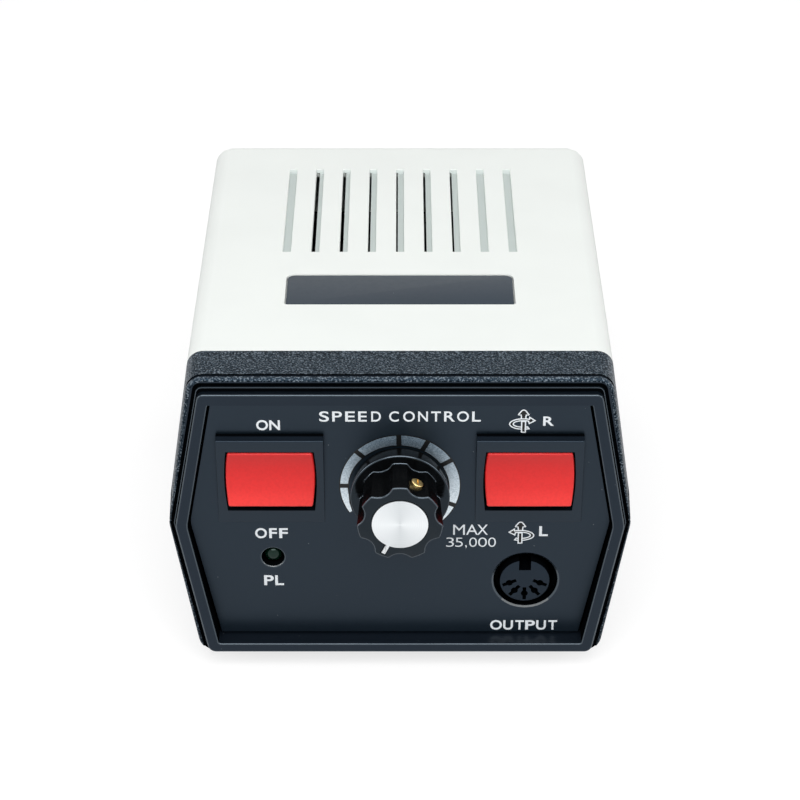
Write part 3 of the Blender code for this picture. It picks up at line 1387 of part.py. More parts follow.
def build():
    clear_scene()
    frame = axis_empty("panel_frame", (0, RIM_Y, POCKET_HIGH), (math.pi / 2 + LEAN, 0, 0))
    pivots = []
    for name, side in (("power_pivot", -1), ("direction_pivot", 1)):
        up = RIM_LOW + SWITCH_UP
        lean = pad_lean()
        y = RIM_Y + pad_plane(up) + PIVOT_DEEP * math.cos(lean)
        z = up + PIVOT_DEEP * math.sin(lean)
        pivots.append(axis_empty(name, (side * switch_x(), y, z), (math.pi / 2 + lean, 0, 0)))
    windows = rear_window_cutters()
    upper_cover(windows)
    lower_case(windows)
    front_bezel()
    front_panel(frame, pivots)
    nameplate()
    names = ("power", "direction")
    for name, side, pivot in zip(names, (-1, 1), pivots):
        rocker(name + "_rocker", pivot, ROCKER_TILT)
        switch_body(name + "_switch_body", frame, side, pivot)
    axis = axis_empty("speed_knob_axis", on_panel(0, KNOB_UP), (0, 0, 0), frame)
    potentiometer(axis)
    knob(axis)
    pilot_lamp(frame)
    output_socket(frame)
    feet()
    case_screws()
    circuit_board()
    transformer()
    inlet = rear_axis("inlet_axis", inlet_x(), FITTING_UP)
    fuse = rear_axis("fuse_axis", fuse_x(), FUSE_UP)
    jack = rear_axis("jack_axis", jack_x(), FITTING_UP)
    slide = rear_axis("slide_axis", fuse_x(), SLIDE_UP)
    rear_panel(inlet, fuse, jack, slide)
    mains_inlet(inlet)
    fuse_parts(fuse)
    pedal_socket(jack)
    selector(slide)


build()
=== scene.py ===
"""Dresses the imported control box: the visible pieces modelled finely, with their finishes, floor, light and camera.

Lengths are in metres. A piece is modelled lying flat, X to the right, Y up its face and Z out of it, and is
then set in place by the matrix of the face that carries it. The tests of places and directions lie so too.
"""

import math

import bmesh
import bpy
from bpy import context, ops
from mathutils import Matrix, Vector


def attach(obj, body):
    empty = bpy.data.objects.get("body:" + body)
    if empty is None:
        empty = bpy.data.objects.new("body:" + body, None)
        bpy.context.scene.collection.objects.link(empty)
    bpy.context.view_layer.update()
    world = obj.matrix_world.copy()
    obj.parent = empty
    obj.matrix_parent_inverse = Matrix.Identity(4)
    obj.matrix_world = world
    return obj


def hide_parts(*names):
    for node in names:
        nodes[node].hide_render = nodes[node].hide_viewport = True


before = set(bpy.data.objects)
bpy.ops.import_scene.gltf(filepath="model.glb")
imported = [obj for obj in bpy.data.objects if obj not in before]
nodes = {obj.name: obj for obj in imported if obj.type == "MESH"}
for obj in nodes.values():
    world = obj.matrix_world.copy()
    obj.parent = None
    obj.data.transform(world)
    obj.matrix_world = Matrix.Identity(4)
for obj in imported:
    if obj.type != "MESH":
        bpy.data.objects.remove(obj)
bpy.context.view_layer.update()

# Places on the case, as packed: distances behind its front, heights, half widths at heights
FRONT = -0.0688235
SEAM = 0.0152
BACK = 0.1428
REAR_WALL = 0.0035
LOW, RIDGE, HIGH = 0.004, 0.0411, 0.0807
CASE = [(LOW, 0.04905), (RIDGE, 0.0559), (HIGH, 0.0501)]
RIM = [(0.0056, 0.0466), (RIDGE, 0.05365), (0.0767, 0.0473)]
SEAM_GAP = 0.00015
TOWERS = ((-0.04, 0.0344), (0.04, 0.0344), (-0.04, 0.1293), (0.04, 0.1293))
REAR_SCREW_X, REAR_SCREW_LOW, REAR_SCREW_HIGH = 0.0407283, 0.0216, 0.0604
VENT_PITCH, VENT_END, VENT_START = 0.0072, -0.1248, -0.0706
BORE = 0.0018
FOOT_X, FEET_BEHIND = 0.031, (0.026, 0.1333)

# Places on the front panel
LEAN = 0.0757274
PANEL_TOP = 0.0739
PAD_MIDDLE, PAD_PROUD, PAD_LOW = -0.020258, 0.0022, 0.0002
SWITCH_X = 0.0306493
KNOB_V = -0.0224644
LAMP, LAMP_HOLE = (-SWITCH_X, -0.0433242), 0.0027
SOCKET, SOCKET_HOLE = (SWITCH_X - 0.0002, -0.0501428), 0.0078

TOUCH = 0.00004
SHARP = 0.6
MID = (0, 0, 0)


def near(one, other):
    return abs(one - other) < TOUCH


def shifted(*place):
    return Matrix.Translation(place)


def turned(degrees, axis="Z"):
    return Matrix.Rotation(math.radians(degrees), 4, axis)


# Faces that carry pieces
CASE_FACE = shifted(0, FRONT, 0) @ turned(90, "X")
PANEL = shifted(0, FRONT, PANEL_TOP) @ turned(90 + math.degrees(LEAN), "X")
REAR_FACE = FRONT + 0.1426


def panel_at(x, v):
    return PANEL @ shifted(x, v, 0)


def rear_at(x, up):
    """A place on the rear panel, X to the right as seen from behind."""
    return shifted(x, REAR_FACE, up) @ turned(180) @ turned(90, "X")


# Modelling steps

def deselect():
    if context.object and context.object.mode == "EDIT":
        ops.object.mode_set(mode="OBJECT")
    ops.object.select_all(action="DESELECT")


def take_up(piece):
    deselect()
    context.view_layer.objects.active = piece
    piece.select_set(True)


def edit(piece):
    take_up(piece)
    ops.object.mode_set(mode="EDIT")


def select_all():
    ops.mesh.select_all(action="SELECT")


def apply_place():
    ops.object.transform_apply(location=True, rotation=True, scale=True)


def moved(piece, place):
    """Turns and shifts a piece that lies at the middle."""
    take_up(piece)
    piece.matrix_world = place
    apply_place()
    return piece


def started(name):
    """Names the primitive just added and opens it for editing."""
    piece = context.object
    piece.name = piece.data.name = name
    apply_place()
    ops.object.mode_set(mode="EDIT")
    return piece


def pick(piece, kind, test):
    """Selects the vertices, edges or faces that pass a test of their middle and their direction.

    The kind CORNER is an edge at which the surface turns sharply.
    """
    if context.object != piece or piece.mode != "EDIT":
        edit(piece)
    ops.mesh.select_mode(type="EDGE" if kind == "CORNER" else kind)
    ops.mesh.select_all(action="DESELECT")
    bm = bmesh.from_edit_mesh(piece.data)
    if kind == "VERT":
        for vert in bm.verts:
            vert.select_set(test(vert.co, vert.normal))
    elif kind == "FACE":
        for face in bm.faces:
            face.select_set(test(face.calc_center_median(), face.normal))
    else:
        for edge in bm.edges:
            one, other = (vert.co for vert in edge.verts)
            if kind == "EDGE" or (len(edge.link_faces) == 2 and edge.calc_face_angle() > SHARP):
                edge.select_set(test((one + other) / 2, (other - one).normalized()))
    bmesh.update_edit_mesh(piece.data)


def ease(piece, width, steps, test, kind="CORNER"):
    """Bevels the edges that pass a test."""
    pick(piece, kind, test)
    ops.mesh.bevel(offset=width, segments=steps, affect="EDGES", clamp_overlap=False)


def ease_front(piece, width, steps, front):
    """Rounds the sharp edges that lie farther out than a distance."""
    ease(piece, width, steps, lambda at, _: at.z > front)


def nudge(piece, step, test):
    """Moves the vertices whose place passes a test."""
    pick(piece, "VERT", lambda at, _: test(at))
    ops.transform.translate(value=step)


def scaled(piece, factors, test, centre=MID):
    """Widens or narrows the vertices whose place passes a test."""
    pick(piece, "VERT", lambda at, _: test(at))
    ops.transform.resize(value=factors, center_override=centre)


def long_corners(piece, height, width, steps):
    """Rounds the edges that run from front to back at a height."""
    ease(piece, width, steps, lambda at, way: abs(way.z) > 0.99 and abs(at.y - height) < 0.0005, "EDGE")


def block(name, levels, back, front, corners=(), middle=0):
    """A block whose half width is given at each height, between two distances from its face.

    Its long corners are rounded as listed, each with its level, its width and its steps.
    """
    foot, head = levels[0][0], levels[-1][0]
    deselect()
    ops.mesh.primitive_cube_add(
        size=1, location=(middle, (foot + head) / 2, (back + front) / 2), scale=(1, head - foot, front - back))
    piece = started(name)
    for height, _ in levels[1:-1]:
        select_all()
        ops.mesh.bisect(plane_co=(0, height, 0), plane_no=(0, 1, 0))
    for height, half in levels:
        scaled(piece, (2 * half, 1, 1), lambda at: near(at.y, height), (middle, height, 0))
    for level, width, steps in corners:
        long_corners(piece, levels[level][0], width, steps)
    return piece


def slab(name, x, y, z):
    """A plain block between two values on each axis."""
    half = (x[1] - x[0]) / 2
    return block(name, [(y[0], half), (y[1], half)], *z, middle=(x[0] + x[1]) / 2)


def pair(half):
    """From one value to the same on the other side."""
    return -half, half


def drum(name, radius, back, front, x=0, y=0, sides=64):
    deselect()
    ops.mesh.primitive_cylinder_add(
        vertices=sides, radius=radius, depth=front - back, location=(x, y, (back + front) / 2))
    return started(name)


def modified(piece, kind, **values):
    """Gives a piece a modifier and applies it."""
    take_up(piece)
    step = piece.modifiers.new(kind.lower(), kind)
    for name, value in values.items():
        setattr(step, name, value)
    ops.object.modifier_apply(modifier=step.name)


def combine(piece, others, operation):
    for other in others:
        modified(piece, "BOOLEAN", operation=operation, solver="EXACT", object=other)
        bpy.data.objects.remove(other, do_unlink=True)


def cut(piece, *others):
    combine(piece, others, "DIFFERENCE")


def join(piece, *others):
    combine(piece, others, "UNION")


def finish(piece, place, look, *replaced, body="control_box", slot=None, smooth=35, even=False):
    """Sets a piece in its place with its smoothing, its look, its body and the nodes that it stands for.

    With even, the large faces lead the shading. A piece without a look here keeps the ones it has.
    """
    moved(piece, place)
    ops.object.shade_smooth_by_angle(angle=math.radians(smooth))
    if even:
        modified(piece, "WEIGHTED_NORMAL", keep_sharp=True, weight=100)
    if look:
        piece.data.materials.clear()
        piece.data.materials.append(look)
    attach(piece, body)
    if replaced:
        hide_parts(*replaced)


def dressed(piece, face, *looks):
    """Gives more looks to the faces that pass their tests of the piece as it lay flat."""
    flat = face.inverted()
    turn = flat.to_3x3()
    for look, test in looks:
        piece.data.materials.append(look)
        pick(piece, "FACE", lambda middle, normal: test(flat @ middle, turn @ normal))
        piece.active_material_index = len(piece.data.materials) - 1
        ops.object.material_slot_assign()
        deselect()


def twin(piece, name):
    """A free copy of a piece, with its own mesh."""
    deselect()
    other = piece.copy()
    other.data = piece.data.copy()
    other.name = other.data.name = name
    for key in list(other.keys()):
        del other[key]
    other.parent = None
    context.scene.collection.objects.link(other)
    return other


def spread(model, places, name, look, node):
    """Finished copies of a model at several places; the model itself goes."""
    for k, place in enumerate(places):
        finish(twin(model, f"{name}_{k + 1}"), place, look, f"{node}_{k + 1}")
    bpy.data.objects.remove(model, do_unlink=True)


# Finishes

BLACK, WHITE = (0, 0, 0), (1, 1, 1)


def finish_of(name, slot, colour, rough, metal=0, specular=0.5, tint=WHITE):
    made = bpy.data.materials.new(name)
    made.use_nodes = True
    made["slot"] = slot
    values = {"Base Color": (*colour, 1), "Roughness": rough, "Metallic": metal, "Coat Roughness": 0.15,
              "Specular IOR Level": specular, "Specular Tint": (*tint, 1)}
    for socket, value in values.items():
        made.node_tree.nodes["Principled BSDF"].inputs[socket].default_value = value
    return made


def add_node(look, kind, **values):
    node = look.node_tree.nodes.new(kind)
    for name, value in values.items():
        if hasattr(node, name):
            setattr(node, name, value)
        else:
            node.inputs[name.replace("_", " ")].default_value = value
    return node


def wire(look, source, target):
    look.node_tree.links.new(source, target)


def drive(look, socket, source):
    wire(look, source, look.node_tree.nodes["Principled BSDF"].inputs[socket])


def pattern(look, kind, output, **values):
    """A value of a pattern that lies in the object."""
    node = add_node(look, kind, **values)
    wire(look, add_node(look, "ShaderNodeTexCoord").outputs["Object"], node.inputs["Vector"])
    return node.outputs[output]


def noise(look, scale, detail=3, roughness=0.5):
    return pattern(look, "ShaderNodeTexNoise", "Fac", Scale=scale, Detail=detail, Roughness=roughness)


def cells(look, scale, feature="F1"):
    return pattern(look, "ShaderNodeTexVoronoi", "Distance", feature=feature, Scale=scale)


def climb(look, axis, low, high):
    """A value from 0 to 1 between two places on an axis."""
    node = add_node(look, "ShaderNodeMapRange", From_Min=low, From_Max=high)
    wire(look, pattern(look, "ShaderNodeSeparateXYZ", axis), node.inputs["Value"])
    return node.outputs["Result"]


def ramp(look, value, *stops):
    """Colours at positions along a value."""
    node = add_node(look, "ShaderNodeValToRGB")
    wire(look, value, node.inputs["Fac"])
    elements = node.color_ramp.elements
    while len(elements) < len(stops):
        elements.new(0.5)
    for element, (where, colour) in zip(elements, stops):
        element.position = where
        element.color = (*colour, 1)
    return node.outputs["Color"]


def blended(look, share, first, second):
    """The first colour or value where the share is 0, the second where it is 1."""
    node = add_node(look, "ShaderNodeMix", data_type="RGBA")
    wire(look, share, node.inputs["Factor"])
    for socket, value in zip(node.inputs[6:8], (first, second)):
        if isinstance(value, tuple):
            socket.default_value = (*value, 1)
        else:
            wire(look, value, socket)
    return node.outputs[2]


def roughened(look, value, low, high):
    node = add_node(look, "ShaderNodeMapRange", To_Min=low, To_Max=high)
    wire(look, value, node.inputs["Value"])
    drive(look, "Roughness", node.outputs["Result"])


def embossed(look, height, distance, strength=1, under=None):
    """Bump from a height; returns the normal, and takes a coarser one under it."""
    node = add_node(look, "ShaderNodeBump", Strength=strength, Distance=distance)
    wire(look, height, node.inputs["Height"])
    if under is not None:
        wire(look, under, node.inputs["Normal"])
    drive(look, "Normal", node.outputs["Normal"])
    return node.outputs["Normal"]


def times(colour, share):
    return tuple(part * share for part in colour)


def moulded(name, colour, rough, slot=None, fine=2600, depth=0.00001, shade=0.9, specular=0.3, tint=WHITE):
    """Moulded plastic with slow changes of tone and gloss."""
    look = finish_of(name, slot or name, colour, rough, specular=specular, tint=tint)
    drive(look, "Base Color", ramp(look, noise(look, 45, 2), (0.35, times(colour, shade)), (0.65, colour)))
    roughened(look, noise(look, 260), rough - 0.05, rough + 0.07)
    embossed(look, noise(look, fine, 2), depth, 0.5)
    return look


def metal(name, colour, rough, slot=None, scratches=900):
    """Plain metal with fine scratches."""
    look = finish_of(name, slot or name, colour, rough, metal=1)
    drive(look, "Base Color", ramp(look, noise(look, 120), (0.3, times(colour, 0.86)), (0.7, colour)))
    roughened(look, noise(look, scratches, 4), rough - 0.08, rough + 0.12)
    embossed(look, noise(look, scratches * 2), 0.000006, 0.4)
    return look


def grained(name, specular=0.05, palest=0.66):
    """Leather-grained black plastic: pale ridges and dark creases that are partly the grain's own tone and partly
    painted highlight and painted shade, and a little dust whose pale specks also serve as painted glints.
    """
    look = finish_of(name, "grained_black", (0.014, 0.02, 0.027), 0.4, specular=specular, tint=(0.42, 0.68, 1))
    skin = noise(look, 2250, 2, 0.55)
    creases = cells(look, 1200, "DISTANCE_TO_EDGE")
    # Pale specks, partly dust and partly painted glints; the tone below is partly grain and partly painted highlight
    # and shade.
    dust = ramp(look, noise(look, 1900, 3, 0.75), (0.65, BLACK), (0.7, WHITE))
    tone = ramp(look, skin, (0.43, (0.004, 0.008, 0.013)), (0.55, (0.035, 0.053, 0.071)),
                (palest, (0.2, 0.24, 0.28)))
    drive(look, "Base Color", blended(look, dust, tone, (0.42, 0.46, 0.49)))
    roughened(look, skin, 0.5, 0.28)
    embossed(look, skin, 0.0006, under=embossed(look, creases, 0.0005, 0.8))
    return look


def speckled(name, slot, colour, specular=0.48):
    """Smooth satin sheet with a few pale dust specks."""
    look = finish_of(name, slot, colour, 0.38, specular=specular, tint=(0.58, 0.76, 1))
    tone = ramp(look, noise(look, 30, 2), (0.3, times(colour, 0.9)), (0.7, times(colour, 1.08)))
    specks = ramp(look, cells(look, 420), (0.018, WHITE), (0.045, BLACK))
    few = ramp(look, noise(look, 170, 1), (0.54, BLACK), (0.57, WHITE))
    chosen = blended(look, few, BLACK, specks)
    drive(look, "Base Color", blended(look, chosen, tone, (0.3, 0.33, 0.35)))
    roughened(look, noise(look, 800, 3), 0.32, 0.42)
    embossed(look, noise(look, 5200, 2), 0.000008, 0.35)
    return look


def spun(name, slot, place):
    """Metal turned on a lathe: fine rings about an axis given by a place, and bright and dull wedges round that axis
    painted in as its sheen.
    """
    look = finish_of(name, slot, (0.8, 0.83, 0.845), 0.36, metal=1)
    centred = pattern(look, "ShaderNodeMapping", "Vector", vector_type="TEXTURE",
                      Location=place.translation, Rotation=place.to_euler())
    rings = add_node(look, "ShaderNodeTexWave", wave_type="RINGS", rings_direction="Z", wave_profile="SIN",
                     Scale=620, Distortion=0.6, Detail=2, Detail_Scale=3)
    sheen_fan = add_node(look, "ShaderNodeTexGradient", gradient_type="RADIAL")
    for node in (rings, sheen_fan):
        wire(look, centred, node.inputs["Vector"])
    ring, turn = rings.outputs["Fac"], sheen_fan.outputs["Fac"]
    embossed(look, ring, 0.000004, 0.2)
    # Painted sheen: bright and dull wedges alternating round the axis.
    bright, dull = (0.84, 0.87, 0.885), (0.5, 0.53, 0.55)
    painted_sheen = ramp(look, turn, (0, bright), (0.25, dull), (0.5, bright), (0.75, dull), (1, bright))
    ringed = ramp(look, ring, (0, (0.72, 0.75, 0.77)), (1, (0.8, 0.83, 0.845)))
    share = add_node(look, "ShaderNodeValue")
    share.outputs[0].default_value = 0.5
    drive(look, "Base Color", blended(look, share.outputs[0], painted_sheen, ringed))
    roughened(look, ring, 0.34, 0.44)
    return look


CREAM = moulded("cream_shell", (0.845, 0.876, 0.85), 0.42, "cover_cream", 2400, 0.00002, 0.98)
# Painted shade in the vents: the slot floors get a greyer cream, lightening to nearly the cover's cream up their
# sloped far ends.
SHADED_SLOT_FLOOR = moulded("grey_slot_floor", (0.565, 0.62, 0.605), 0.6, "cover_cream", 2400, 0.00002, 0.97)
drive(SHADED_SLOT_FLOOR, "Base Color", blended(SHADED_SLOT_FLOOR, climb(SHADED_SLOT_FLOOR, "Y", FRONT + 0.1231, FRONT + 0.1247),
                                        (0.56, 0.615, 0.6), (0.79, 0.82, 0.8)))
GRAINED = grained("leather_grained_black")
# Paler, glossier copies of the grain as painted highlight: one for the bezel's rounded front bead, one for its sides.
GRAINED_BEAD_HIGHLIGHT = grained("leather_grained_edge", 0.4, 0.6)
GRAINED_SIDE_HIGHLIGHT = grained("leather_grained_side", 0.2, 0.63)
SMOOTH_RIM = speckled("smooth_black_rim", "grained_black", (0.003, 0.005, 0.008), 0.42)
# A lighter, very glossy black for thin rounded edges, as painted highlight along them.
EDGE_HIGHLIGHT = moulded("polished_edge", (0.012, 0.018, 0.024), 0.14, "grained_black", 3600, 0.000004,
                    specular=1, tint=(0.72, 0.86, 1))
# A pale grey for the lower chamfers of the panel's holes, as painted highlight where they face the light.
LIT_EDGE = moulded("lit_edge", (0.12, 0.135, 0.145), 0.2, "grained_black", 3600, 0.000004, specular=1)
# A near-black without any gloss, as painted shade where recesses, hole walls and the switch pads' heads should read
# dark.
DEEP_SHADE = moulded("dark_recess", (0.0016, 0.0022, 0.003), 0.6, "grained_black", specular=0)
# A dull near-black without gloss, as painted shade in the bezel's valley and on the bevels of the switch pads' heads.
DIM_SHADE = moulded("dusky_edge", (0.008, 0.012, 0.018), 0.6, "grained_black", specular=0)
SLATE = speckled("slate_panel", "panel_slate", (0.003, 0.006, 0.009))
PLATE = speckled("slate_plate", "plate_slate", (0.014, 0.023, 0.034), 0.28)
RED = moulded("red_paddle", (0.9, 0.036, 0.034), 0.34, "rocker_red", 1700, 0.00004, 0.95, specular=0.35)
# Painted light and shade on the paddles: the red is lighter towards their bottoms and darker towards their tops, by
# height in the scene.
painted_light_and_shade = ramp(RED, climb(RED, "Z", 0.0475, 0.0605), (0, (0.96, 0.056, 0.05)), (0.35, (0.84, 0.033, 0.032)),
              (0.75, (0.78, 0.025, 0.025)), (1, (0.7, 0.026, 0.026)))
mottle = ramp(RED, noise(RED, 1500, 3), (0.4, BLACK), (0.65, (0.15, 0.15, 0.15)))
drive(RED, "Base Color", blended(RED, mottle, painted_light_and_shade, (0.52, 0.02, 0.02)))
GLOSS = moulded("gloss_black_knob", (0.003, 0.0034, 0.0038), 0.11, "knob_black", 300, 0.000003,
                specular=0.35, tint=(0.6, 0.8, 1))
GRIP_SIDE = moulded("gloss_black_flutes", (0.002, 0.0022, 0.0024), 0.2, "knob_black", 300, 0.000003, specular=0.06)
MATT = moulded("matt_black_moulding", (0.014, 0.015, 0.016), 0.5, "matt_black")
RUBBER = moulded("foot_rubber", (0.018, 0.018, 0.018), 0.8, "foot_rubber", 1500, 0.00006)
STEEL = metal("bright_steel", (0.62, 0.63, 0.64), 0.28)
ALUMINIUM = metal("plain_aluminium", (0.74, 0.75, 0.76), 0.36)
BRASS = metal("brass", (0.84, 0.63, 0.28), 0.36)
CORE = metal("laminated_core", (0.2, 0.21, 0.23), 0.5, "core_steel")
COPPER = metal("copper_wire", (0.72, 0.3, 0.12), 0.3)
GREEN_BOARD = moulded("board_green", (0.02, 0.16, 0.06), 0.35)
BOBBIN = moulded("bobbin_white", (0.72, 0.7, 0.62), 0.5)
CAN = moulded("capacitor_sleeve", (0.04, 0.08, 0.26), 0.25, "can_blue")
GLASS = moulded("fuse_glass", (0.55, 0.6, 0.6), 0.06)
LENS = moulded("pilot_lens_green", (0.001, 0.013, 0.007), 0.05, "lens_green", specular=0.3, tint=(0.75, 1, 0.93))
WHITE_INK = moulded("white_print", (0.91, 0.96, 1), 0.5, "spun_metal", shade=0.97)
SILVER_INK = metal("silver_print", (0.52, 0.6, 0.66), 0.46, "spun_metal", 1500)
flakes = noise(SILVER_INK, 3200, 2)
# Painted reflection on the silver print: paler low on the scale and duskier high on it, by height in the scene.
pale = ramp(SILVER_INK, flakes, (0.36, (0.54, 0.62, 0.67)), (0.64, (0.74, 0.8, 0.84)))
dusky = ramp(SILVER_INK, flakes, (0.36, (0.14, 0.2, 0.26)), (0.64, (0.3, 0.39, 0.47)))
drive(SILVER_INK, "Base Color", blended(SILVER_INK, climb(SILVER_INK, "Z", 0.046, 0.064), pale, dusky))
BLACK_INK = moulded("black_print", (0.004, 0.0045, 0.005), 0.3, "knob_black")
SOCKET_GREY = moulded("socket_grey_moulding", (0.009, 0.014, 0.022), 0.45, "matt_black",
                      specular=0.28, tint=(0.6, 0.8, 1))
GLOSSY = moulded("semi_gloss_black", (0.01, 0.0105, 0.0115), 0.3, "matt_black")


# Shapes of the case

def half_at(levels, height):
    """Half a shape's width at a height."""
    low, ridge, high = levels
    foot, head = (low, ridge) if height < ridge[0] else (ridge, high)
    return foot[1] + (head[1] - foot[1]) * (height - foot[0]) / (head[0] - foot[0])


def drawn_in(levels, side, foot, head):
    """The levels of a six-sided shape whose sides, foot and head are moved in."""
    def half(start, end, height):
        slope = (end[1] - start[1]) / (end[0] - start[0])
        return start[1] + slope * (height - start[0]) - side * math.sqrt(1 + slope * slope)

    low, ridge, high = levels
    under, over = low[0] + foot, high[0] - head
    return [(under, half(low, ridge, under)), (ridge[0], half(low, ridge, ridge[0])), (over, half(ridge, high, over))]


def shell(name, levels, closed_edge, corner, radius=0.006):
    """One half of the case, rounded along its corners and its rear."""
    piece = block(name, levels, -BACK, -SEAM)
    pick(piece, "EDGE", lambda at, way: abs(way.z) > 0.99 and near(at.y, closed_edge))
    ops.transform.edge_bevelweight(value=corner / radius)
    pick(piece, "EDGE", lambda at, way: near(at.z, -BACK) and (abs(way.x) < 0.9 or near(at.y, closed_edge)))
    ops.transform.edge_bevelweight(value=1)
    modified(piece, "BEVEL", width=radius, segments=8, limit_method="WEIGHT")
    return piece


def hollow_out(piece, levels, wall, low, high, corners=()):
    """Cuts the room out of one half of the case."""
    (foot, narrow), (head, wide) = levels
    slope = (wide - narrow) / (head - foot)
    room = [(up, narrow + slope * (up - foot) - wall) for up in (low, high)]
    cut(piece, block("room", room, -BACK + REAR_WALL, -SEAM + 0.002, corners))


def post(name, radius, foot, head, x, y):
    """A drum that stands on end in the case, y behind its front."""
    return moved(drum(name, radius, foot, head, sides=32), CASE_FACE.inverted() @ shifted(x, FRONT + y, 0))


def rear_seat(piece, screw_up):
    """Two rear screw bosses, the rear panel's rebate and window, and the screws' bores."""
    inner, seat = -BACK + REAR_WALL, -BACK + 0.002
    for x in pair(REAR_SCREW_X):
        join(piece, drum("boss", 0.0033, inner - 0.0055, inner + 0.0005, x, screw_up, 32))
    cut(piece, slab("window", pair(0.0368283), (0.021, 0.061), (seat - 0.004, -BACK + 0.0065)),
        slab("rebate", pair(0.0446283), (0.0177, 0.0643), (seat - 0.004, seat)))
    for x in pair(REAR_SCREW_X):
        cut(piece, drum("bore", BORE, seat - 0.001, inner + 0.005, x, screw_up, 24))


def plate_block(name, margin, low, high):
    """The nameplate's outline, its two front corners square and its two rear ones round."""
    piece = slab(name, pair(0.028 + margin), (low, high), (-0.057 - margin, -0.0404 + margin))
    ease(piece, 0.002 + margin, 6, lambda at, way: abs(way.y) > 0.99 and at.z < -0.05)
    ease(piece, 0.0004 + margin, 2, lambda at, way: abs(way.y) > 0.99 and at.z > -0.045)
    return piece


def in_rim(at, extra):
    return (abs(at.x) < half_at(RIM, at.y) + 0.0004 + extra
            and RIM[0][0] - 0.0003 - extra < at.y < RIM[2][0] + 0.001 + extra)


# The cover with its screw posts, its vents and the nameplate's pocket
foot = RIDGE + SEAM_GAP
levels = [(foot, half_at(CASE, foot)), CASE[2]]
cover = shell("cover_shell", levels, HIGH, 0.00345)
hollow_out(cover, levels, 0.00253, foot - 0.002, HIGH - 0.0025, ((1, 0.0013, 3),))
for x, y in TOWERS:
    join(cover, post("screw_post", 0.0035, RIDGE + 0.0004, HIGH - 0.002, x, y))
    cut(cover, post("pilot", BORE, RIDGE - 0.001, RIDGE + 0.0123, x, y))
vent = slab("vent", pair(0.001), (HIGH - 0.0012, HIGH + 0.002), (VENT_END, VENT_START))
nudge(vent, (0, 0, 0.0018), lambda at: at.z < -0.12 and at.y < HIGH)
select_all()
ops.transform.translate(value=(-4 * VENT_PITCH, 0, 0))
modified(vent, "ARRAY", count=9, use_relative_offset=False, use_constant_offset=True,
         constant_offset_displace=(VENT_PITCH, 0, 0))
cut(cover, vent)
for k, wide in enumerate((0.00092, 0.00084, 0.00054, 0.00044, 0.00064, 0.00056)):
    edge = (k - 3) * VENT_PITCH - 0.001
    cut(cover, slab("slit", (edge, edge + wide), (HIGH - 0.005, HIGH - 0.001), (-0.124, VENT_START)))
cut(cover, plate_block("plate_pocket", 0.0003, HIGH - 0.0012, HIGH + 0.002))
rear_seat(cover, REAR_SCREW_HIGH)
ease(cover, 0.00022, 2, lambda at, _: near(at.y, HIGH) and -0.1263 < at.z < -0.035 and abs(at.x) < 0.034)
ease(cover, 0.00025, 2, lambda at, _: near(at.z, -SEAM) or near(at.y, foot))
finish(cover, CASE_FACE, CREAM, "upper_cover", even=True)
# The slot floors take the painted shade.
dressed(cover, CASE_FACE, (SHADED_SLOT_FLOOR, lambda at, way: HIGH - 0.0013 < at.y < HIGH - 0.0003
                           and way.y > 0.3 and -0.1253 < at.z < -0.0705 and abs(at.x) < 0.032))

# The lower half with its towers, pillars, pads and foot holes
top = RIDGE - SEAM_GAP
levels = [CASE[0], (top, half_at(CASE, top))]
tray = shell("case_tray", levels, LOW, 0.00374)
hollow_out(tray, levels, 0.00254, LOW + 0.0025, top + 0.002)
for x, y in TOWERS:
    join(tray, post("tower", 0.0044, LOW + 0.002, RIDGE - 0.0003, x, y))
    cut(tray, post("screw_well", 0.00305, LOW - 0.002, RIDGE - 0.0033, x, y),
        post("bore", BORE, RIDGE - 0.004, RIDGE + 0.001, x, y))
for x in pair(0.0295):
    for y in (0.0285, 0.0555):
        join(tray, post("pillar", 0.003, LOW + 0.002, 0.0137, x, y))
        cut(tray, post("pilot", BORE, 0.0067, 0.0152, x, y))
for x in pair(0.032):
    join(tray, slab("transformer_pad", (x - 0.0065, x + 0.0065), (LOW + 0.002, 0.0095), (-0.0944999, -0.0765001)))
    cut(tray, post("pilot", BORE, LOW + 0.00125, 0.0115, x + math.copysign(0.00225, x), 0.0855))
for x in pair(FOOT_X):
    for y in FEET_BEHIND:
        cut(tray, post("foot_hole", 0.0025, LOW - 0.002, LOW + 0.0045, x, y))
rear_seat(tray, REAR_SCREW_LOW)
ease(tray, 0.00025, 2, lambda at, _: near(at.z, -SEAM) or near(at.y, top))
finish(tray, CASE_FACE, GRAINED, "lower_case", even=True)

# The bezel: a grained body, a smooth rim and the panel's pocket
body = block("bezel_body", CASE, -SEAM + 0.0003, -0.0015)
scaled(body, (1 - 0.0006 / 0.053, 1 - 0.001 / 0.0767, 1), lambda at: at.z > -0.003, (0, 0.0421, 0))
for height, width in ((HIGH, 0.00345), (LOW, 0.00374), (RIDGE, 0.001)):
    long_corners(body, height, width, 6)
ease_front(body, 0.0008, 4, -0.0016)
valley = block("valley", drawn_in(CASE, -0.002, -0.002, -0.002), -0.0038, -0.0027)
cut(valley, block("valley_floor", drawn_in(CASE, 0.0008, 0.00075, 0.00075), -0.005, -0.002, ((2, 0.003, 6),)))
cut(body, valley, block("groove", drawn_in(RIM, -0.0013, -0.0009, -0.0024), -0.0026, 0.001, ((2, 0.0015, 4),)))
ridge_face = 0.05475
for x in ((-0.0585, -ridge_face), (ridge_face, 0.0585)):
    cut(body, slab("ridge_band", x, (0.0413, 0.0457), (-0.0145, 0.001)))
rounded = ((2, 0.0013, 4), (0, 0.0015, 4))
step = block("step", drawn_in(RIM, -0.0005, -0.0004, -0.0011), -0.006, -0.0019, rounded)
ease(step, 0.00025, 2, lambda at, _: near(at.z, -0.0019))
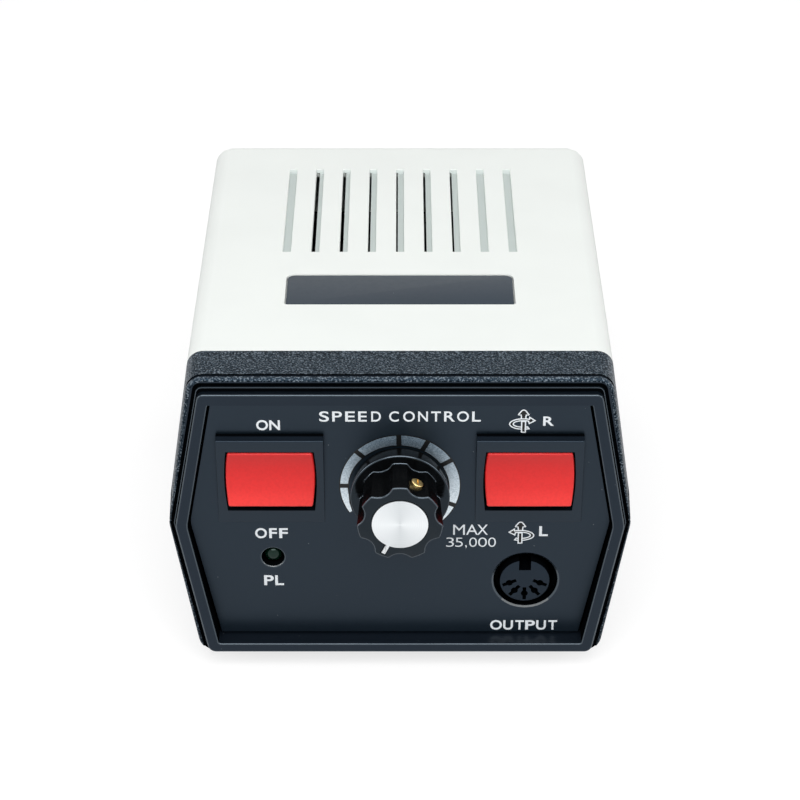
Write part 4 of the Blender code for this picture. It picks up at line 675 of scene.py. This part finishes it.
join(body, step, block("rim", RIM, -0.006, 0, (*rounded, (1, 0.001, 4))))
pocket = drawn_in(RIM, 0.0028, 0.0024, 0.0028)
cut(body, block("hollow", drawn_in(CASE, 0.0043, 0.0043, 0.0043), -0.04, -0.0115),
    block("pocket", pocket, -0.0078, 0.002, ((2, 0.0004, 2), (0, 0.0004, 2), (1, 0.001, 4))),
    block("opening", drawn_in(RIM, 0.0058, 0.0054, 0.0058), -0.03, 0.002))
ease(body, 0.0003, 3, lambda at, way: near(at.z, 0) and not (abs(way.x) > 0.9 and near(at.y, pocket[2][0])))
finish(body, CASE_FACE, GRAINED, "front_bezel", even=True)
# The bezel's sides and bead take the paler grain as painted highlight, its valley and pocket walls are painted shade,
# and its rim's rounded edges carry painted highlight.
dressed(
    body, CASE_FACE,
    (GRAINED_SIDE_HIGHLIGHT, lambda at, way: abs(way.x) > 0.6),
    (GRAINED_BEAD_HIGHLIGHT, lambda at, way: way.z > 0.2 and way.y > 0.2),
    (DIM_SHADE, lambda at, way: -0.0036 < at.z < -0.0029 and abs(way.z) < 0.5),
    (SMOOTH_RIM, lambda at, way: (in_rim(at, 0.0003) and at.z > -0.012) or near(abs(at.x), ridge_face)),
    (DEEP_SHADE, lambda at, way: abs(at.x) < half_at(RIM, at.y) - 0.002 and -0.012 < at.z < -0.0004
     and at.y < RIM[2][0] - 0.002 and way.y < 0.5),
    (EDGE_HIGHLIGHT, lambda at, way: -0.0022 < at.z < -0.0018 and 0.1 < abs(way.z) < 0.99
     and in_rim(at, 0.0003) and not in_rim(at, -0.001)),
    (EDGE_HIGHLIGHT, lambda at, way: at.z > -0.0003 + TOUCH / 4 and abs(way.z) < 0.995 and in_rim(at, 0)))


# Front panel and rockers

PAD_LEAN = math.atan2(0.138524, 0.9903591)
PIVOT_Y, PIVOT_Z = FRONT + 0.0069699, 0.0546004
PADDLE_HALF = 0.00707


def pivot_at(side):
    return shifted(side * SWITCH_X, PIVOT_Y, PIVOT_Z) @ turned(90 + math.degrees(PAD_LEAN), "X")


def barrel(half_tall, extra, stations=8):
    """Levels of a shape that is widest at its middle."""
    shares = [2 * k / stations - 1 for k in range(stations + 1)]
    return [(share * half_tall, 0.01055 - 0.00055 * share * share + extra) for share in shares]


def switch_pad(side):
    """A wedge that stands out of the panel at its head, with its upper edge cut off."""
    half_wide, half_tall = 0.0127, 0.0125359
    pad = slab("pad", (side * SWITCH_X - half_wide, side * SWITCH_X + half_wide),
               (PAD_MIDDLE - half_tall, PAD_MIDDLE + half_tall), (-0.001, PAD_PROUD))
    nudge(pad, (0, 0, PAD_LOW - PAD_PROUD), lambda at: at.z > 0 and at.y < PAD_MIDDLE)
    ease(pad, 0.001, 1, lambda at, way: at.z > 0 and at.y > PAD_MIDDLE + 0.012 and abs(way.x) > 0.9)
    ease(pad, 0.00022, 2, lambda at, way: at.z > 0 or abs(way.z) > 0.9)
    return pad


def rocker_window(side):
    piece = block("rocker_window", barrel(PADDLE_HALF + 0.0014, 0.0004), -0.002, 0.0095)
    nudge(piece, (0, -0.0007, 0), lambda at: at.y < -0.0084)
    return moved(piece, PANEL.inverted() @ pivot_at(side))


def make_paddle(name, side, body, node):
    """A rocker paddle with barrel sides, a hollow face and softened edges."""
    levels = barrel(PADDLE_HALF, 0, 12)
    half_deep = 0.004
    paddle = block(name, levels, -0.002, 0.0081)
    for up, _ in levels:
        share = abs(up) / PADDLE_HALF
        nudge(paddle, (0, 0, -0.0009 * (1 - share * share)), lambda at: near(at.y, up) and at.z > half_deep)
        nudge(paddle, (0, 0, 0.0061 * share), lambda at: near(at.y, up) and at.z < half_deep)
    nudge(paddle, (0, -0.0003, 0), lambda at: at.y < -0.007 and at.z > half_deep)
    ease(paddle, 0.00045, 4, lambda at, way: at.z > 0.005 or abs(way.z) > 0.9)
    join(paddle, moved(drum("pin", 0.0015, -0.01145, 0.01145, sides=24), turned(90, "Y")))
    finish(paddle, pivot_at(side) @ turned(-8, "X"), RED, node, body=body)


def on_ring(at, middle, radius):
    return near(at.z, 0) and abs((at.xy - Vector(middle)).length - radius) < 0.0001


def bored(at, way, least, most):
    return least < abs(way.z) < most and any(
        abs((at.xy - Vector(middle)).length - radius) < 0.0006
        for middle, radius in ((LAMP, LAMP_HOLE), (SOCKET, SOCKET_HOLE)))


def on_pad_head(at, way, least, most):
    return least < way.y < most and at.z > 0.0001 and abs(at.y + 0.0085) < 0.0014


# The sunk slate panel with its two switch pads and its holes
levels = [((up - PANEL_TOP) / math.cos(LEAN), half) for up, half in drawn_in(RIM, 0.0034, 0.0028, 0.00279)]
panel = block("panel_plate", levels, -0.0025, 0, ((1, 0.001, 4),))
for side in (-1, 1):
    join(panel, switch_pad(side))
cut(panel, rocker_window(-1), rocker_window(1), drum("pot_hole", 0.0038, -0.005, 0.002, 0, KNOB_V),
    drum("lamp_hole", LAMP_HOLE, -0.005, 0.002, *LAMP, 48),
    drum("socket_hole", SOCKET_HOLE, -0.005, 0.002, *SOCKET, 96))
ease(panel, 0.00034, 3, lambda at, _: on_ring(at, LAMP, LAMP_HOLE))
chamfer, flare = 0.00026, 0.00016
ease(panel, chamfer, 1, lambda at, _: on_ring(at, SOCKET, SOCKET_HOLE))
wider = 1 + flare / (SOCKET_HOLE + chamfer)
scaled(panel, (wider, wider, 1), lambda at: on_ring(at, SOCKET, SOCKET_HOLE + chamfer), (*SOCKET, 0))
finish(panel, PANEL, SLATE, "front_panel", smooth=31, even=True)
# The holes' walls and the pads' heads are painted shade, the pads' upper bevels a dimmer painted shade, and the
# holes' rims painted highlight, brightest on their lower chamfers.
dressed(
    panel, PANEL,
    (DEEP_SHADE, lambda at, way: bored(at, way, -1, 0.05)),
    (EDGE_HIGHLIGHT, lambda at, way: bored(at, way, 0.05, 0.99)),
    (LIT_EDGE, lambda at, way: bored(at, way, 0.7, 0.95) and way.y > 0.36),
    (DEEP_SHADE, lambda at, way: on_pad_head(at, way, 0.9, 1.1)),
    (DIM_SHADE, lambda at, way: on_pad_head(at, way, 0.6, 0.8)))

make_paddle("power_paddle", -1, "power_rocker_paddle", "power_rocker")
make_paddle("direction_paddle", 1, "direction_rocker_paddle", "direction_rocker")


# Speed knob

KNOB = panel_at(0, KNOB_V)
GRUB = shifted(0.0002, 0, 0.0107) @ turned(90 - 180 / 7) @ turned(90, "Y")
SKIRT, SEAT = 0.01185, 0.0151


def drawn(name, points, low):
    """A flat shape drawn point by point and filled."""
    deselect()
    ops.mesh.primitive_plane_add(size=0.001)
    piece = started(name)
    ops.mesh.merge(type="CENTER")
    ops.mesh.select_mode(type="VERT")
    select_all()
    ops.transform.translate(value=(*points[0], low))
    for before, after in zip(points, points[1:]):
        step = (after[0] - before[0], after[1] - before[1], 0)
        ops.mesh.extrude_vertices_move(TRANSFORM_OT_translate={"value": step})
    select_all()
    ops.mesh.edge_face_add()
    return piece


def thickened(depth):
    """Gives the flat shape in hand a thickness."""
    ops.mesh.extrude_region_move(TRANSFORM_OT_translate={"value": (0, 0, depth)})
    select_all()
    ops.mesh.normals_make_consistent(inside=False)


def lobed_outline(tip, far, radius, corner, count):
    """Seven lobes round a circle with a flute between each two, its corners eased."""
    points = []
    for k in range(count):
        turn = 2 * math.pi * k / count
        pitch = 2 * math.pi / 7
        aside = (turn - math.pi / 2) % pitch - pitch / 2
        reach = tip
        if abs(math.sin(aside)) < radius / far:
            flute = far * math.cos(aside) - math.sqrt(radius ** 2 - (far * math.sin(aside)) ** 2)
            share = max(corner - abs(flute - tip), 0) / corner
            reach = min(flute, tip) - share * share * corner / 4
        points.append((reach * math.cos(turn), reach * math.sin(turn)))
    return points


def pointer_bar(name, low, high, margin=0):
    bar = slab(name, (0.004, 0.0091 + margin), pair(0.0005 + margin), (low, high))
    return moved(bar, turned(244.3))


# Seven lobes on a round skirt, with room for the nut and a seat for the cap
lobes = drawn("lobes", lobed_outline(0.0101, 0.01197, 0.00337, 0.0007, 252), 0.003)
thickened(0.013)
scaled(lobes, (0.93, 0.93, 1), lambda at: at.z < 0.005)
ease_front(lobes, 0.0003, 3, 0.0159)
grip = drum("knob_grip", SKIRT, 0.0006, 0.0051, sides=120)
pick(grip, "FACE", lambda _, way: way.z > 0.9)
ops.mesh.inset(thickness=0.0006, depth=0)
ops.mesh.inset(thickness=0.003, depth=-0.0005)
scaled(grip, (0.935, 0.935, 1), lambda at: at.z < 0.001)
ease(grip, 0.00045, 4, lambda at, _: at.z > 0.005 and abs(at.xy.length - SKIRT) < 0.0001)
join(grip, lobes)
ease(grip, 0.00028, 3, lambda at, _: 0.0045 < at.z < 0.005 and 0.0065 < at.xy.length < 0.0102)
cut(grip, drum("nut_room", 0.0078, -0.002, 0.0042), drum("bore", 0.0033, 0, 0.0139, sides=32),
    drum("cap_seat", 0.0068, SEAT, 0.018, sides=96), pointer_bar("pointer_seat", SEAT, 0.018, 0.0002),
    moved(drum("grub_hole", 0.0018, 0.003, 0.012, sides=32), GRUB))
finish(grip, KNOB, GLOSS, "speed_knob_body", body="speed_knob")
# The rounded edges of the lobes' tops and of the skirt carry painted highlight.
dressed(
    grip, KNOB,
    (GRIP_SIDE, lambda at, way: abs(way.z) < 0.3 and at.xy.length > 0.008),
    (EDGE_HIGHLIGHT, lambda at, way: (0.0157 < at.z < 0.0161 or 0.0044 < at.z < 0.00505)
     and 0.2 < way.z < 0.97 and at.xy.length > 0.0072))

# Knob cap
cap = drum("knob_cap", 0.0066, 0.0154, 0.0163, sides=96)
join(cap, pointer_bar("pointer", 0.0154, 0.0163))
ease_front(cap, 0.00012, 2, 0.0162)
finish(cap, KNOB, spun("spun_cap", "spun_metal", KNOB), "speed_knob_cap", body="speed_knob")
grub = drum("grub_screw", 0.0015, 0.0033, 0.0091, sides=48)
cut(grub, slab("slot", pair(0.0011), pair(0.00018), (0.0086, 0.01)))
ease(grub, 0.00025, 3, lambda at, _: at.z > 0.009 and at.xy.length > 0.0013)
finish(grub, KNOB @ GRUB, BRASS, "knob_grub_screw", body="speed_knob")


# Print on the panel

INK = 0.00004
CAPITAL = 0.73
MM = 0.001


def printed(name, foot, tall, word, edges, weight=0.022):
    """A word as a layer of ink, each letter between its own two edges, in millimetres."""
    parts = []
    for letter, left, right in zip(word, edges[::2], edges[1::2]):
        deselect()
        ops.object.text_add(location=MID)
        text = context.object.data
        text.body, text.extrude, text.offset = letter, 0.01, weight
        ops.object.convert(target="MESH")
        part = context.object
        low, high = ([most(vert.co[k] for vert in part.data.vertices) for k in range(3)] for most in (min, max))
        edit(part)
        select_all()
        ops.mesh.remove_doubles(threshold=0.0001)
        ops.transform.translate(value=(-low[0], 0, -low[2]))
        size = ((right - left) * MM / (high[0] - low[0]), tall * MM / CAPITAL, INK / (high[2] - low[2]))
        ops.transform.resize(value=size, center_override=MID)
        ops.transform.translate(value=(left * MM, foot * MM, 0))
        take_up(part)
        parts.append(part)
    for part in parts:
        part.select_set(True)
    if len(parts) > 1:
        ops.object.join()
    piece = context.object
    piece.name = piece.data.name = name
    finish(piece, PANEL, WHITE_INK)


def outlined(name, points, line, low):
    """A drawn shape outlined in white ink, with a black middle."""
    piece = drawn(name, points, low)
    ops.mesh.inset(thickness=line, depth=0)
    inner = [face.index for face in bmesh.from_edit_mesh(piece.data).faces if face.select]
    take_up(piece)
    piece.data.materials.append(WHITE_INK)
    piece.data.materials.append(BLACK_INK)
    for index in inner:
        piece.data.polygons[index].material_index = 1
    edit(piece)
    select_all()
    thickened(INK)
    return piece


def arc(centre, half_wide, half_tall, start, end, steps):
    angles = [math.radians(start + (end - start) * k / steps) for k in range(steps + 1)]
    return [(centre[0] + half_wide * math.cos(angle), centre[1] + half_tall * math.sin(angle)) for angle in angles]


def direction_sign(name, mirrored, drop):
    """A straight arrow with a turning arrow round it."""
    middle = 0.0289
    side = [(x * MM, v * MM) for x, v in (
        (0.24, -1.04), (0.58, -1.26), (1, -1.85), (1.39, -2.42),
        (1.22, -2.64), (0.74, -2.64), (0.68, -3), (0.68, -3.9))]
    head = [(middle + x, v) for x, v in side] + [(middle - x, v) for x, v in reversed(side)]
    shaft = [(0.02953, -0.00413), (0.02953, -0.00742), (0.02834, -0.00742), (0.02834, -0.00413)]
    band = arc((middle, -0.00502), 0.00338, 0.00159, -62, -292, 28)
    band += [(0.03024, -0.00291), (0.03184, -0.0041), (0.03016, -0.00513)]
    band += arc((middle, -0.005), 0.00224, 0.00076, 62, 298, 24)
    for part, points, level in (("head", head, 0.00001), ("band", band, 0.00002), ("shaft", shaft, 0.00003)):
        if mirrored:
            points = [(2 * middle - x, v) for x, v in reversed(points)]
        piece = outlined(f"{name}_{part}", [(x, v - drop) for x, v in points], 0.0003, level)
        finish(piece, PANEL, None, slot="spun_metal")


def crescent(name, look, outer, inner, gap, low):
    """The speed scale: a ring that is thin at its ends, cut into segments."""
    through = (low - 0.001, low + 0.001)
    ring = drum(name, outer, low, low + INK, sides=160)
    cut(ring, drum("inside", inner, *through, -0.0003, -0.0006, 120))
    half = inner - 0.00002
    taper = [(-0.016, half - 0.0028), (-0.009, half - 0.0014), (-0.0048, half - 0.0003), (0, half)]
    cut(ring, block("inside_foot", taper, *through, middle=-0.0003))
    for angle, y in ((212.4, (0, 0.03)), (-43.7, (-0.03, 0))):
        cut(ring, moved(slab("open_foot", (0, 0.03), y, through), turned(angle)))
    for angle in (180, 136.7, 91.2, 62.4, 30.9, -23.3) if gap else ():
        cut(ring, moved(slab("gap", (0.008, 0.02), pair(gap / 2), through), turned(angle)))
    finish(ring, KNOB, look)


crescent("speed_scale_edge", BLACK_INK, 0.01445, 0.0118, 0, 0.00001)
crescent("speed_scale", SILVER_INK, 0.0142, 0.0121, 0.0012, 0.00004)
printed("word_speed", -4.3, 2.88, "SPEED", (
    -18.9, -16.62, -15.86, -13.58, -12.82, -10.54, -9.78, -7.74, -6.74, -4.46), 0.012)
printed("word_control", -4.3, 2.88, "CONTROL", (
    -2.54, -0.26, 0.74, 3.48, 4.24, 6.52, 7.28, 9.56, 10.32, 12.83, 13.36, 16.1, 16.86, 18.91), 0.012)
printed("word_on", -6.64, 2.75, "ON", (-33.68, -30.93, -30.64, -28.12))
printed("word_off", -37.58, 2.89, "OFF", (-34.78, -31.96, -31.42, -29.56, -29.02, -26.91))
printed("word_pilot", -51.54, 2.95, "PL", (-32.98, -30.61, -30.31, -28.19))
printed("word_max", -36.7, 3.17, "MAX", (12.75, 15.57, 15.87, 18.69, 18.51, 21.09), 0)
printed("word_top_speed", -40.23, 2.9, "35,000", (
    11.1, 12.97, 13.27, 15.13, 15.68, 16.1, 16.64, 18.5, 18.8, 20.91, 21.21, 23.07), -0.01)
printed("word_right", -5.44, 2.56, "R", (33.49, 36.00))
printed("word_left", -37.0, 2.9, "L", (33.4, 35.5))
printed("word_output", -65.04, 2.86, "OUTPUT", (
    22.12, 25.01, 25.31, 27.71, 28.26, 30.4, 30.71, 33.1, 33.41, 35.8, 36.36, 38.5))
direction_sign("sign_right", False, 0)
direction_sign("sign_left", True, 0.03184)


# Nameplate
plate = plate_block("nameplate_blank", 0, HIGH - 0.0009, HIGH - 0.0002)
ease(plate, 0.0002, 3, lambda at, _: at.y > HIGH - 0.0003)
finish(plate, CASE_FACE, PLATE, "nameplate")

# Pilot lamp
lens = drum("pilot_lens", 0.0024, -0.0095, -0.0005, sides=48)
ease_front(lens, 0.00235, 12, -0.0006)
finish(lens, panel_at(*LAMP), LENS, "led_lens")

# Output socket: a can with a screw flange, and an insert with five contacts
can = drum("socket_can", 0.0078, -0.0154, -0.0026, sides=96)
ease_front(can, 0.0003, 2, -0.0027)
flange = slab("flange", pair(0.0117), pair(0.0082), (-0.0073, -0.0058))
ease(flange, 0.002, 4, lambda at, way: abs(way.z) > 0.9)
join(can, flange)
cut(can, drum("throat", 0.0069, -0.0142, 0.001, sides=96))
for side in (-1, 1):
    cut(can, drum("screw_hole", 0.00105, -0.01, 0, side * 0.0098, side * 0.0064, 24))
# The can takes the shade black as painted shade, so that the ring round the insert reads dark.
finish(can, panel_at(SWITCH_X, -0.0498428), DEEP_SHADE, "output_socket_shell", slot="matt_black")
core = drum("socket_core", 0.00605, -0.0139, 0.0003, sides=96)
ease_front(core, 0.0002, 2, 0.0002)
cut(core, slab("keyway", pair(0.00145), (0.00315, 0.008), (-0.02, 0.001)))
for k, lean in enumerate((15, 0, 0, 0, -15)):
    angle = (k - 2) * 40.5 - 90
    x, y = 0.00375 * math.cos(math.radians(angle)), 0.00375 * math.sin(math.radians(angle))
    slot = slab("contact_slot", pair(0.0018), pair(0.00045), (-0.0022, 0.001))
    cut(core, moved(slot, shifted(x, y, 0) @ turned(angle + lean)),
        drum("contact_hole", 0.00085, -0.0074, 0.001, x, y, 24))
place = panel_at(SOCKET[0] - 0.0002, SOCKET[1])
finish(core, place, SOCKET_GREY, "output_socket_insert")
# The insert's contact holes and keyway are painted shade.
dressed(core, place, (DEEP_SHADE, lambda at, way: way.z < 0.5 or at.z < 0))


# Feet and screws

def screw_piece(length, radius=0.0015, head_radius=0.00275, head=0.002):
    """A pan head with a cross recess, and a shank under it."""
    piece = drum("screw", head_radius, 0, head, sides=40)
    ease_front(piece, head * 0.55, 5, head * 0.9)
    join(piece, drum("shank", radius * 0.92, -length, head * 0.3, sides=24))
    for turn in (0, 90):
        arm = slab("recess", pair(head_radius * 0.56), pair(head_radius * 0.13), (head * 0.4, head * 2))
        scaled(arm, (0.55, 1, 1), lambda at: at.z < head)
        cut(piece, moved(arm, turned(turn)))
    return piece


# A tapered rubber foot with a dished tread and a spigot
foot = drum("foot", 0.006, 0, 0.0037)
scaled(foot, (0.87, 0.87, 1), lambda at: at.z < 0.001)
ease(foot, 0.0005, 4, lambda at, _: True)
join(foot, drum("spigot", 0.0022, 0.003, 0.0074, sides=32))
cut(foot, drum("dish", 0.0032, -0.001, 0.0006, sides=48))
places = [shifted(x, FRONT + y, 0) for y in FEET_BEHIND for x in pair(FOOT_X)]
spread(foot, places, "foot", RUBBER, "rubber_foot")

# Screws
seats = [(x, REAR_FACE + 0.0003, z) for z in (REAR_SCREW_LOW, REAR_SCREW_HIGH) for x in pair(REAR_SCREW_X)]
places = [shifted(*seat) @ (turned(-90, "X") @ turned(turn)) for seat, turn in zip(seats, (20, 65, -35, 5))]
spread(screw_piece(0.0073), places, "rear_screw", STEEL, "rear_panel_screw")
places = [shifted(x, FRONT + y, RIDGE - 0.0036) @ turned(180, "X") for x, y in TOWERS]
spread(screw_piece(0.012), places, "long_screw", STEEL, "case_screw")


# Rear panel and its fittings

PLATE_UP = 0.041
INLET_X, JACK_X, FUSE_X = 0.0190349, 0.0260349, 0.00785
FUSE_UP, SLIDE_UP = 0.0095, -0.0105
INLET = rear_at(-INLET_X, PLATE_UP)
FUSE = rear_at(FUSE_X, PLATE_UP + FUSE_UP)
JACK = rear_at(JACK_X, PLATE_UP)

# The plate with its windows and holes
through = (-0.004, 0.002)
plate = slab("rear_plate", pair(0.0443283), pair(0.023), (-0.0015, 0))
ease(plate, 0.0012, 4, lambda at, way: abs(way.z) > 0.9)
cut(plate, slab("inlet_window", (INLET_X - 0.0138, INLET_X + 0.0138), pair(0.0101), through),
    drum("fuse_hole", 0.0063, *through, -FUSE_X, FUSE_UP, 48),
    drum("jack_hole", 0.0049, *through, -JACK_X, 0, 48),
    slab("slide_window", (-FUSE_X - 0.0042, -FUSE_X + 0.0042), (SLIDE_UP - 0.0022, SLIDE_UP + 0.0022), through))
for x in pair(REAR_SCREW_X):
    for y in pair(0.0194):
        cut(plate, drum("screw_hole", BORE, *through, x, y, 32))
ease(plate, 0.00015, 2, lambda at, _: near(at.z, 0))
finish(plate, rear_at(0, PLATE_UP), MATT, "rear_panel")

# A three-pin appliance inlet whose cavity has two cut corners
body = slab("inlet_body", pair(0.0155), pair(0.012), (0.0003, 0.0028))
ease(body, 0.0022, 5, lambda at, way: abs(way.z) > 0.9)
ease_front(body, 0.0006, 3, 0.0027)
join(body, slab("inlet_back", pair(0.0135), pair(0.0098), (-0.018, 0.0008)))
cavity = slab("inlet_cavity", pair(0.0118), pair(0.0078), (-0.0127, 0.004))
ease(cavity, 0.0028, 1, lambda at, way: abs(way.z) > 0.9 and at.y > 0)
ease(cavity, 0.0008, 3, lambda at, way: abs(way.z) > 0.9 and at.y < 0)
cut(body, cavity)
ease(body, 0.0003, 2, lambda at, _: near(at.z, 0.0028))
finish(body, INLET, GLOSSY, "mains_inlet")

# Fuse fittings
holder = drum("fuse_holder_body", 0.006, -0.026, 0.001)
flange = drum("fuse_flange", 0.0073, 0.0003, 0.0023)
ease_front(flange, 0.0006, 4, 0.002)
join(holder, flange)
cut(holder, drum("fuse_bore", 0.0036, -0.0222, 0.004, sides=48))
finish(holder, FUSE, GLOSSY, "fuse_holder")
cap = drum("fuse_cap_grip", 0.0061, 0.0026, 0.0101, sides=96)
ease_front(cap, 0.0007, 4, 0.01)
for k in range(16):
    cut(cap, moved(drum("grip_groove", 0.0006, 0.0036, 0.012, 0.0064, 0, 16), turned(k * 22.5)))
join(cap, drum("stem", 0.0033, -0.0014, 0.003, sides=48))
cut(cap, slab("coin_slot", pair(0.0075), pair(0.0006), (0.0086, 0.012)))
finish(cap, FUSE, GLOSSY, "fuse_cap", body="fuse_carrier")

# The socket with its threaded bushing, and the six-sided nut on it
socket = drum("jack_body", 0.008, -0.023, -0.0018)
ease(socket, 0.0004, 2, lambda at, _: True)
bushing = drum("jack_bushing", 0.0046, -0.003, 0.0042)
ease_front(bushing, 0.0003, 2, 0.004)
for k in range(5):
    ring = drum("thread", 0.006, 0.0005 + 0.0007 * k, 0.0008 + 0.0007 * k)
    cut(ring, drum("root", 0.00435, 0, 0.005))
    cut(bushing, ring)
join(socket, bushing)
cut(socket, drum("jack_bore", 0.0034, -0.0188, 0.006, sides=48))
finish(socket, JACK, MATT, "pedal_socket")
nut = drum("jack_nut", 0.0068, 0.0003, 0.0029, sides=6)
ease_front(nut, 0.0004, 2, 0.0028)
cut(nut, drum("nut_bore", 0.0049, -0.001, 0.004))
finish(nut, JACK, STEEL, "pedal_socket_nut")

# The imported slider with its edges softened
slider = twin(nodes["selector_slider"], "selector_thumb")
edit(slider)
select_all()
ops.mesh.remove_doubles(threshold=0.00001)
ops.mesh.dissolve_limited(angle_limit=math.radians(1))
select_all()
ops.mesh.customdata_custom_splitnormals_clear()
modified(slider, "BEVEL", width=0.0003, segments=2, limit_method="ANGLE", angle_limit=math.radians(32),
         use_clamp_overlap=True)
finish(slider, Matrix(), GLOSSY, "selector_slider", body="selector_thumb_piece", smooth=30)


# Finishes of the imported parts that stay

# The switch bodies and the lamp holder behind the panel take the shade black, as painted shade.
for look, kept in (
        (DEEP_SHADE, "power_switch_body direction_switch_body led_holder"),
        (STEEL, "pot_body pot_nut socket_screw_1 socket_screw_2 board_screw_1 board_screw_2 transistor_screw"
                " transformer_bracket transformer_screw_1 transformer_screw_2 selector_body"),
        (ALUMINIUM, "pot_shaft heat_sink"), (MATT, "bridge_rectifier power_transistor"),
        (GREEN_BOARD, "circuit_board"), (CAN, "filter_capacitor"), (CORE, "transformer_core"),
        (BOBBIN, "transformer_bobbin"), (COPPER, "transformer_winding"), (GLASS, "fuse_link"),
        (BRASS, "inlet_blade_live inlet_blade_earth inlet_blade_neutral")):
    for name in kept.split():
        nodes[name].data.materials.clear()
        nodes[name].data.materials.append(look)


# Floor, light and camera

def looked_at(look):
    """1 for the rays that look at a thing, 0 for those that light it."""
    ray = add_node(look, "ShaderNodeLightPath")
    share = ray.outputs["Is Camera Ray"]
    for kind in ("Is Glossy Ray", "Is Transmission Ray"):
        either = add_node(look, "ShaderNodeMath", operation="MAXIMUM")
        wire(look, share, either.inputs[0])
        wire(look, ray.outputs[kind], either.inputs[1])
        share = either.outputs[0]
    return share


def placed(name, data, place):
    thing = bpy.data.objects.new(name, data)
    context.scene.collection.objects.link(thing)
    thing.location = place
    return thing


deselect()
ops.mesh.primitive_plane_add(size=6, location=MID)
floor = context.object
floor.name = "studio_floor"
paper = bpy.data.materials.new("studio_paper")
paper.use_nodes = True
paper.node_tree.nodes.clear()
matt = add_node(paper, "ShaderNodeBsdfDiffuse", Color=(0.35, 0.35, 0.35, 1))
lift = add_node(paper, "ShaderNodeEmission", Color=(0.74, 0.74, 0.74, 1))
both = add_node(paper, "ShaderNodeAddShader")
wire(paper, looked_at(paper), lift.inputs["Strength"])
wire(paper, matt.outputs[0], both.inputs[0])
wire(paper, lift.outputs[0], both.inputs[1])
wire(paper, both.outputs[0], add_node(paper, "ShaderNodeOutputMaterial").inputs["Surface"])
floor.data.materials.append(paper)

world = bpy.data.worlds.new("studio")
context.scene.world = world
world.use_nodes = True
sky = world.node_tree.nodes["Background"]
sky.inputs["Color"].default_value = (1, 1, 1, 1)
sky.inputs["Strength"].default_value = 0.2
white = add_node(world, "ShaderNodeBackground", Color=(1, 1, 1, 1))
choice = add_node(world, "ShaderNodeMixShader")
for source, target in enumerate((looked_at(world), sky.outputs[0], white.outputs[0])):
    wire(world, target, choice.inputs[source])
wire(world, choice.outputs[0], world.node_tree.nodes["World Output"].inputs["Surface"])

AIM = Vector((0, 0, 0.04))
for name, place, size, power in (
        ("key", (0, -0.86, 0.88), (1, 0.7), 10.9),
        ("overhead", (0, 0.15, 1.1), (0.9, 0.6), 2.4),
        ("rear_left", (-1, 1, 0.4), (0.5, 0.6), 1.5),
        ("rear_right", (1, 1, 0.4), (0.5, 0.6), 1.5),
        ("left", (-1, -0.5, 0.5), (0.5, 0.6), 3),
        ("right", (1, -0.4, 0.6), (0.5, 0.6), 3)):
    lamp = bpy.data.lights.new(f"{name}_softbox", "AREA")
    lamp.shape, lamp.energy = "RECTANGLE", power
    lamp.size, lamp.size_y = size
    placed(lamp.name, lamp, place).rotation_euler = (AIM - Vector(place)).to_track_quat("-Z", "Y").to_euler()

camera = placed("camera", bpy.data.cameras.new("camera"), (0, -0.6405, 0.3794))
camera.rotation_euler = (math.radians(62), 0, 0)
camera.data.lens, camera.data.sensor_width, camera.data.clip_start = 125.1, 36, 0.01
context.scene.camera = camera
context.scene.view_settings.view_transform = "Standard"
